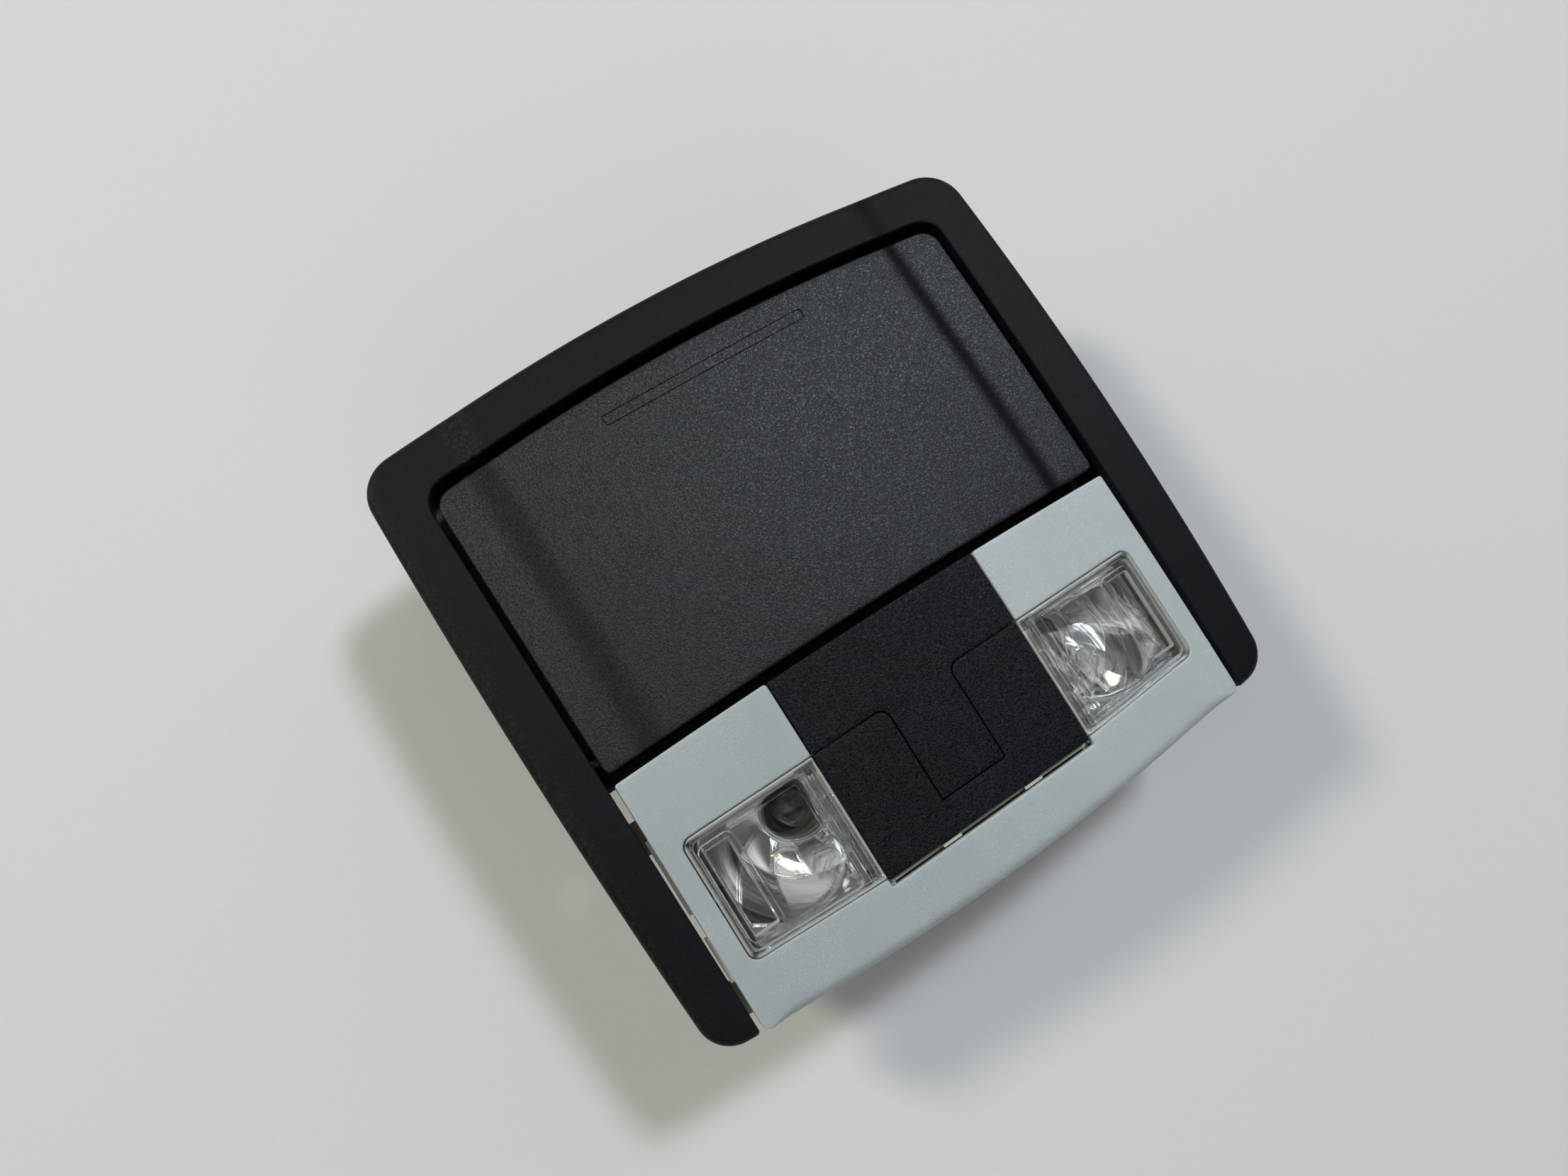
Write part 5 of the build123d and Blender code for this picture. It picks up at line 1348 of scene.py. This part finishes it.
def coil_group():
    sizes = ("Turns", "Coil radius", "Length", "Wire radius")
    tree, given = node_group("wire_coil", {**dict.fromkeys(sizes, "Float"), "Finish": "Material"})
    spiral = step(tree, "GeometryNodeCurveSpiral", {
        "Resolution": 24, "Rotations": given["Turns"], "Start Radius": given["Coil radius"],
        "End Radius": given["Coil radius"], "Height": given["Length"]})
    section = step(tree, "GeometryNodeCurvePrimitiveCircle",
                   {"Resolution": 8, "Radius": given["Wire radius"]})
    wire = step(tree, "GeometryNodeCurveToMesh",
                {"Curve": spiral[0], "Profile Curve": section[0], "Fill Caps": True})
    return close(tree, wire[0], given["Finish"])


COIL = coil_group()
print("coil group with inputs", [i.name for i in COIL.interface.items_tree if i.in_out == "INPUT"])

# %% [markdown]
# ## Bulbs
# The bulbs are capless wedge bulbs: a blown glass tube with a domed end and a pinched foot. The glass is
# hollow, so the skin has an inner surface that faces inwards; a solid one would bend light like a marble.
# Two stiff wires carry a coiled filament across the tube, and a glass bead keeps them apart.

# %% Bulb glass
BULB_TIP, BULB_RADIUS, BULB_SHOULDER, BULB_FOOT = -6.0, 5.1, -26.0, -32.8
GLASS_WALL, DOME_SHARE = 0.55, 0.72
SHOULDER_STEPS = ((1.0, 3.0), (0.93, 1.4), (0.72, 0.4), (0.4, 0.0))
FOOT_WIDE, FOOT_DEEP, FOOT_CORNER, FOOT_TUCK = 4.7, 1.1, 0.5, 0.3


def turned(skin, x, y, profile, count=48, inner=False):
    """Adds a turned shape from (radius, height) pairs that run from its top to its foot."""
    turn = np.linspace(0, FULL_TURN, count, endpoint=False)
    start = len(skin.faces)
    rows = skin.strips([lift(circle(x, y, radius, turn), z) for radius, z in profile])
    skin.lid(rows[0])
    skin.foot(rows[-1])
    if inner:
        skin.faces[start:] = [f[::-1] for f in skin.faces[start:]]


def prism(skin, plan, top, low, edge=0.2):
    """Adds a block with a flat top and foot and a small rounded upper edge."""
    flat = lambda x, y: np.full(len(x), top)
    rows = skin.strips(rolled(partial(inwards, plan), edge, flat, 2) + [lift(plan, low)])
    skin.lid(rows[0])
    skin.foot(rows[-1])


def bulb_profile(thick):
    """The outside of the glass, or its inside when it is drawn in by the wall."""
    radius, tip, foot = BULB_RADIUS - thick, BULB_TIP - thick, BULB_SHOULDER + thick
    dome = [(radius * math.sin(t), tip - DOME_SHARE * radius * (1 - math.cos(t)))
            for t in np.linspace(0.02, math.pi / 2, 12)]
    return dome + [(radius * share, foot + up) for share, up in SHOULDER_STEPS]


def bulb_skin(node, x, y):
    skin = Skin()
    turned(skin, x, y, bulb_profile(0.0))
    turned(skin, x, y, bulb_profile(GLASS_WALL), inner=True)
    pinch = rounded_rect((x - FOOT_WIDE, y - FOOT_DEEP), (x + FOOT_WIDE, y + FOOT_DEEP), FOOT_CORNER)
    prism(skin, pinch, BULB_SHOULDER + FOOT_TUCK, BULB_FOOT)
    return skin.mesh(node + "_skin")


print("the glass has", len(bulb_profile(0.0)), "rings outside and as many inside")

# %% [markdown]
# ## Filaments
# The two wires and the bead are turned shapes. The coil follows a path, so the coil group draws it; it is
# then laid across the wires and joined to them, because wires and coil are one piece on the real bulb.

# %% Filaments, and all four bulbs in place
WIRE_APART, WIRE_RADIUS, WIRE_TOP, WIRE_TUCK = 2.3, 0.22, -12.6, 1.2
GLASS_BEAD, BEAD_Z = ((0.3, 3.0), (0.7, 2.6), (0.7, -2.6), (0.3, -3.0)), -19.5
COIL_TURNS, COIL_RADIUS, COIL_LENGTH, COIL_WIRE, COIL_Z = 16.0, 0.45, 4.6, 0.11, -12.7
DOME_BULB_X, DOME_BULB_Y = 58.0, -28.55


def filament_mesh(name, x, y):
    """Two stiff wires, a bead and the coil between the wires."""
    skin = Skin()
    for way in (-1, 1):
        wire = [(WIRE_RADIUS, WIRE_TOP), (WIRE_RADIUS, BULB_SHOULDER + WIRE_TUCK)]
        turned(skin, x + way * WIRE_APART, y, wire, 10)
    bead = Skin()
    turned(bead, 0.0, 0.0, GLASS_BEAD, 14)
    base = len(skin.vertices)
    skin.vertices += [(x + c, y + b, BEAD_Z - a) for a, b, c in bead.vertices]
    skin.faces += [tuple(base + k for k in f) for f in bead.faces]
    mesh = skin.mesh(name)
    coil = grown("coil", bpy.data.meshes.new("coil_base"), COIL, {
        "Turns": COIL_TURNS, "Coil radius": COIL_RADIUS * MM, "Length": COIL_LENGTH * MM,
        "Wire radius": COIL_WIRE * MM, "Finish": STEEL})
    start = Matrix.Translation((x * MM - WIRE_APART * MM, y * MM, COIL_Z * MM))
    coil.transform(start @ Matrix.Rotation(math.pi / 2, 4, "Y"))
    both = bmesh.new()
    both.from_mesh(mesh)
    both.from_mesh(coil)
    both.to_mesh(mesh)
    both.free()
    return mesh


for name, side in SIDES:
    for use, x, y in (("map", BULB_X, BULB_Y), ("dome", DOME_BULB_X, DOME_BULB_Y)):
        node = f"{use}_bulb_{name}"
        place(bulb_skin(node, side * x, y), GLASS, node)
        wires = place(filament_mesh(f"{use}_filament_{name}", side * x, y), STEEL, node, stands_for=False)

# %% [markdown]
# ## Screws and connector pins
# Eight identical screws hold the two housings from behind, and a row of square pins stands in the
# connector. One screw with a cross recess and one pin are modelled, and Geometry Nodes sets them out on
# points. Each screw is turned by a different angle, because nobody stops a screwdriver at the same place
# twice; the seed keeps those angles the same in every run.

# %% One screw and one pin
SCREW_PROFILE = ((2.3, 2.0), (2.6, 1.88), (2.82, 1.55), (2.9, 1.1), (2.9, 0.0), (1.25, 0.0), (1.25, -8.6),
                 (0.7, -9.4))
HEAD_TOP, RECESS_ARM, RECESS_HALF, RECESS_FLOOR, RECESS_TAPER = 2.0, 1.55, 0.38, 0.9, 0.72
PIN_CORNER, PIN_EDGE, PIN_TIP, TIP_SHARE = 0.08, 0.02, 0.5, 0.45


def cross_outline():
    """The twelve corners of the recess, a quarter at a time, run clockwise as a hole is."""
    quarter = [(RECESS_ARM, -RECESS_HALF), (RECESS_ARM, RECESS_HALF), (RECESS_HALF, RECESS_HALF)]
    corners = []
    for _ in range(4):
        corners += quarter
        quarter = [(-y, x) for x, y in quarter]
    return np.array(corners)[::-1]


def screw_mesh():
    """A pan-head screw with its seat at the origin, its head below and its shank above."""
    skin = Skin()
    turn = np.linspace(0, FULL_TURN, 40, endpoint=False)
    rows = skin.strips([lift(circle(0, 0, r, turn), z) for r, z in SCREW_PROFILE])
    skin.foot(rows[-1])
    cross = cross_outline()
    recess = skin.strips([lift(cross, HEAD_TOP), lift(cross * RECESS_TAPER, RECESS_FLOOR)])
    skin.foot(recess[-1])
    skin.cap([rows[0], recess[0]], 0.6, lambda x, y: np.full(len(x), HEAD_TOP))
    skin.mirror(axis=2)
    return skin.mesh("one_screw")


def pin_mesh(width, length):
    """A square pin that hangs from the origin and ends in a blunt point."""
    skin = Skin()
    half, shoulder = width / 2, -length + PIN_TIP
    plan = rounded_rect((-half, -half), (half, half), PIN_CORNER, POINT_STEP, 2)
    prism(skin, plan, 0.0, shoulder, PIN_EDGE)
    rows = skin.strips([lift(plan, shoulder), lift(plan * TIP_SHARE, -length)])
    skin.foot(rows[-1])
    return skin.mesh("one_pin")


ONE_SCREW = screw_mesh()
print("one screw has", len(ONE_SCREW.polygons), "faces")

# %% [markdown]
# ## Setting them out
# The screws sit in two columns on the housings' lugs, and the pins share the box that the CAD gives to
# their row. A group puts one part on every point of a bare mesh, so both rows use the same group with
# other inputs.

# %% Screw and pin layouts
SCREW_X, SCREW_Y, SCREW_SEAT, TURN_SEED = 90.0, (60.0, 10.0, -32.0, -81.0), -10.0, 7
PIN_COUNT = 6


def layout_group():
    tree, given = node_group("set_out", {"Part": "Object", "Turn": "Float", "Seed": "Int",
                                         "Finish": "Material"})
    part = step(tree, "GeometryNodeObjectInfo", {"Object": given["Part"]})
    angle = step(tree, "FunctionNodeRandomValue", {2: 0.0, 3: given["Turn"], "Seed": given["Seed"]})
    turn = step(tree, "ShaderNodeCombineXYZ", {"Z": angle[1]})
    spots = step(tree, "GeometryNodeMeshToPoints", {"Mesh": given["Geometry"]})
    parts = step(tree, "GeometryNodeInstanceOnPoints",
                 {"Points": spots[0], "Instance": part["Geometry"], "Rotation": turn[0]})
    return close(tree, parts[0], given["Finish"])


SET_OUT = layout_group()


def set_out(node, part, points, turn, finish):
    """One mesh with a copy of the part at each point, in place of a CAD node."""
    name = node + "_skin"
    base = bpy.data.meshes.new(name + "_points")
    base.from_pydata([tuple(c * MM for c in p) for p in points], [], [])
    pattern = bpy.data.objects.new(name + "_pattern", part)
    mesh = grown(name, base, SET_OUT, {"Part": pattern, "Turn": turn, "Seed": TURN_SEED, "Finish": finish})
    bpy.data.objects.remove(pattern)
    return place(mesh, finish, node)


screw_spots = [(side * SCREW_X, y, SCREW_SEAT) for _, side in SIDES for y in SCREW_Y]
set_out("case_screws", ONE_SCREW, screw_spots, FULL_TURN, STEEL)
pins_low, pins_high = (np.array(c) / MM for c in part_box("connector_pins"))
pin_width, pin_length = (pins_high - pins_low)[1:]
pin_x = np.linspace(pins_low[0] + pin_width / 2, pins_high[0] - pin_width / 2, PIN_COUNT)
pin_spots = [(x, (pins_low[1] + pins_high[1]) / 2, pins_high[2]) for x in pin_x]
set_out("connector_pins", pin_mesh(pin_width, pin_length), pin_spots, 0.0, BRASS)

# %% [markdown]
# ## Mouldings and fittings
# The parts behind the face keep their CAD shapes. They still get joined faces, small bevels and finishes
# of their own, because no moulded or stamped edge is perfectly sharp, and the back of the console is seen
# as soon as it is turned over. A Bevel modifier is enough here: their edges are all alike.

# %% Softened CAD parts
FLAT_ANGLE, SHARP_ANGLE, BEVEL_ANGLE = (math.radians(degrees) for degrees in (0.6, 32, 40))
PLAIN = {
    "lamp_housing": (CREAM, 0.25), "bin_housing": (BIN, 0.3), "bin_tray": (BIN, 0.25),
    "bin_liner": (FELT, 0.3), "latch_body": (DARK, 0.3), "latch_plunger": (CREAM, 0.0),
    "latch_spring": (STEEL, 0.0), "hinge_pins": (BLACKED, 0.2), "rocker_pin": (STEEL, 0.15),
    "switch_board": (BOARD, 0.1), "dome_switches": (DARK, 0.15), "connector": (DARK, 0.25),
    "bus_bars": (BRASS, 0.1), "roof_clips": (STEEL, 0.1),
}
for name, _ in SIDES:
    PLAIN[f"map_switch_{name}"] = (DARK, 0.15)
    PLAIN[f"map_plunger_{name}"] = (CREAM, 0.1)
    for use in ("map", "dome"):
        PLAIN[f"{use}_socket_{name}"] = (DARK, 0.2)


def softened(node, material, bevel):
    """A CAD node's own shape with merged faces and small bevels."""
    work = merged(node)
    bmesh.ops.dissolve_limit(work, angle_limit=FLAT_ANGLE, verts=work.verts, edges=work.edges)
    mesh = bpy.data.meshes.new(node + "_skin")
    work.to_mesh(mesh)
    work.free()
    mesh.shade_smooth()
    mesh.set_sharp_from_angle(angle=SHARP_ANGLE)
    thing = place(mesh, material, node)
    if bevel:
        edge = thing.modifiers.new("edges", "BEVEL")
        edge.width = bevel * MM
        edge.segments = 2
        edge.limit_method = "ANGLE"
        edge.angle_limit = BEVEL_ANGLE
        edge.use_clamp_overlap = True


for node, (finish, bevel) in PLAIN.items():
    softened(node, finish, bevel)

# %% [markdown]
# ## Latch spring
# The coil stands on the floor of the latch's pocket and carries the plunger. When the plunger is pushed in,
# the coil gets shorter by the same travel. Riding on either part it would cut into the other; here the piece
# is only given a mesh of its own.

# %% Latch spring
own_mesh(bpy.data.objects["latch_spring_skin"])

# %% [markdown]
# ## Floor
# The console lies on a plain pale floor. It is one large square just below the part, wide enough that its
# edge is never seen, with a faint mottle so that the shadow has something to lie on.

# %% Floor
FLOOR_GAP, FLOOR_REACH = 0.0005, 4.0


def pale_floor():
    f = Finish("pale_floor")
    mottle = f.noise(0.6, 2.0)
    colour = f.blend(mottle, (0.655, 0.655, 0.65), (0.68, 0.68, 0.675))
    return f.surface(Base_Color=colour, Roughness=0.75)


floor_z = cad_box[0][2] - FLOOR_GAP
floor_corners = [(FLOOR_REACH * x, FLOOR_REACH * y, floor_z) for x, y in ((-1, -1), (1, -1), (1, 1), (-1, 1))]
floor_mesh = bpy.data.meshes.new("floor")
floor_mesh.from_pydata(floor_corners, [], [(0, 1, 2, 3)])
floor_mesh.materials.append(pale_floor())
floor = bpy.data.objects.new("floor", floor_mesh)
bpy.context.scene.collection.objects.link(floor)
print("floor at", round(floor_z / MM, 2), "mm")

# %% [markdown]
# ## Camera
# The camera stands where the photograph was taken from, above the left arm and turned so that the console
# lies at an angle across the picture. It could be aimed at a target, but a hand-held camera is also rolled,
# so its three axes are written out and put into one matrix.

# %% Camera
CAMERA_PLACE = Vector((-88.8, -22.5, 304.4)) * MM
RIGHT, DOWN = (0.82706, -0.54061, 0.15398), (-0.51004, -0.83687, -0.19870)
AHEAD = (0.23628, 0.08580, -0.96787)
SENSOR_WIDTH, FOCAL_LENGTH, NEAREST_SEEN = 36.0, 26.0, 0.01
lens = bpy.data.cameras.new("camera")
lens.sensor_width = SENSOR_WIDTH
lens.lens = FOCAL_LENGTH
lens.clip_start = NEAREST_SEEN
camera = bpy.data.objects.new("camera", lens)
axes = Matrix((RIGHT, [-v for v in DOWN], [-v for v in AHEAD])).transposed().to_4x4()
camera.matrix_world = Matrix.Translation(CAMERA_PLACE) @ axes
bpy.context.scene.collection.objects.link(camera)
bpy.context.scene.camera = camera
print("camera at", [round(v, 3) for v in CAMERA_PLACE])

# %% [markdown]
# ## Soft panels
# Two large soft panels light the console: a cool one above it on the right and a warm one behind it on the
# left. Their size sets how soft the shadows are, and one function makes both, because they differ only in
# direction, strength and tint.

# %% Soft panels
PANEL_DISTANCE, PANEL_SIZE = 3.0, 0.42


def panel_light(name, direction, watts, tint):
    lamp = bpy.data.lights.new(name, "AREA")
    lamp.shape = "SQUARE"
    lamp.size = PANEL_SIZE
    lamp.energy = watts
    lamp.color = tint
    thing = bpy.data.objects.new(name, lamp)
    away = Vector(direction).normalized()
    thing.location = away * PANEL_DISTANCE
    thing.rotation_euler = away.to_track_quat("Z", "Y").to_euler()
    bpy.context.scene.collection.objects.link(thing)
    print(name, "at", [round(v, 2) for v in thing.location])


panel_light("main_panel", (0.48, 0.34, 1.0), 41.0, (0.85, 0.925, 1.0))
panel_light("side_panel", (-1.1, 1.35, 1.4), 40.5, (1.0, 0.97, 0.80))

# %% [markdown]
# ## The room
# Chrome and clear plastic only look real when they have something to mirror. An even sky would leave them
# flat, and a picture of a room isn't needed: a few bands of light and dark are enough. The room has pale
# windows between dark walls, a grey floor and one skylight, all worked out from the direction alone.

# %% Room
class Sky(Finish):
    """The surroundings, made from the same kind of expressions."""

    def __init__(self, name):
        self.world = bpy.data.worlds.new(name)
        self.world.use_nodes = True
        self.tree = self.world.node_tree
        self.tree.nodes.clear()
        self.place = self.node("ShaderNodeTexCoord", output="Generated")


room = Sky("pale_room")
x, y, z = room.axes()
around = room.node("ShaderNodeMath", {"operation": "ARCTAN2"}, {0: y, 1: x})
waves = room.node("ShaderNodeMath", {"operation": "SINE"}, {0: around * 3.0 + 0.4})
windows = room.band(waves, 0.25, 0.55)
height = room.band(z, 0.15, 0.45) * (1 - room.band(z, 0.72, 0.90))
level = room.blend(room.band(z, 0.05, 0.95), (0.28, 0.28, 0.28), (0.10, 0.103, 0.107))
walls = room.blend(windows, (0.035, 0.035, 0.037), (0.78, 0.79, 0.80))
level = room.blend(height, level, walls)
skylight = room.band(z * 0.95 + y * 0.10 - x * 0.30, 0.955, 0.985)
level = room.blend(skylight, level, (1.1, 1.1, 1.1))
back = room.node("ShaderNodeBackground", {}, {"Color": level})
room.node("ShaderNodeOutputWorld", {}, {"Surface": back})
bpy.context.scene.world = room.world
bpy.context.scene.view_settings.view_transform = "Standard"
print("a room of", len(room.tree.nodes), "nodes")

print("cad box", [[round(v, 4) for v in c] for c in cad_box])
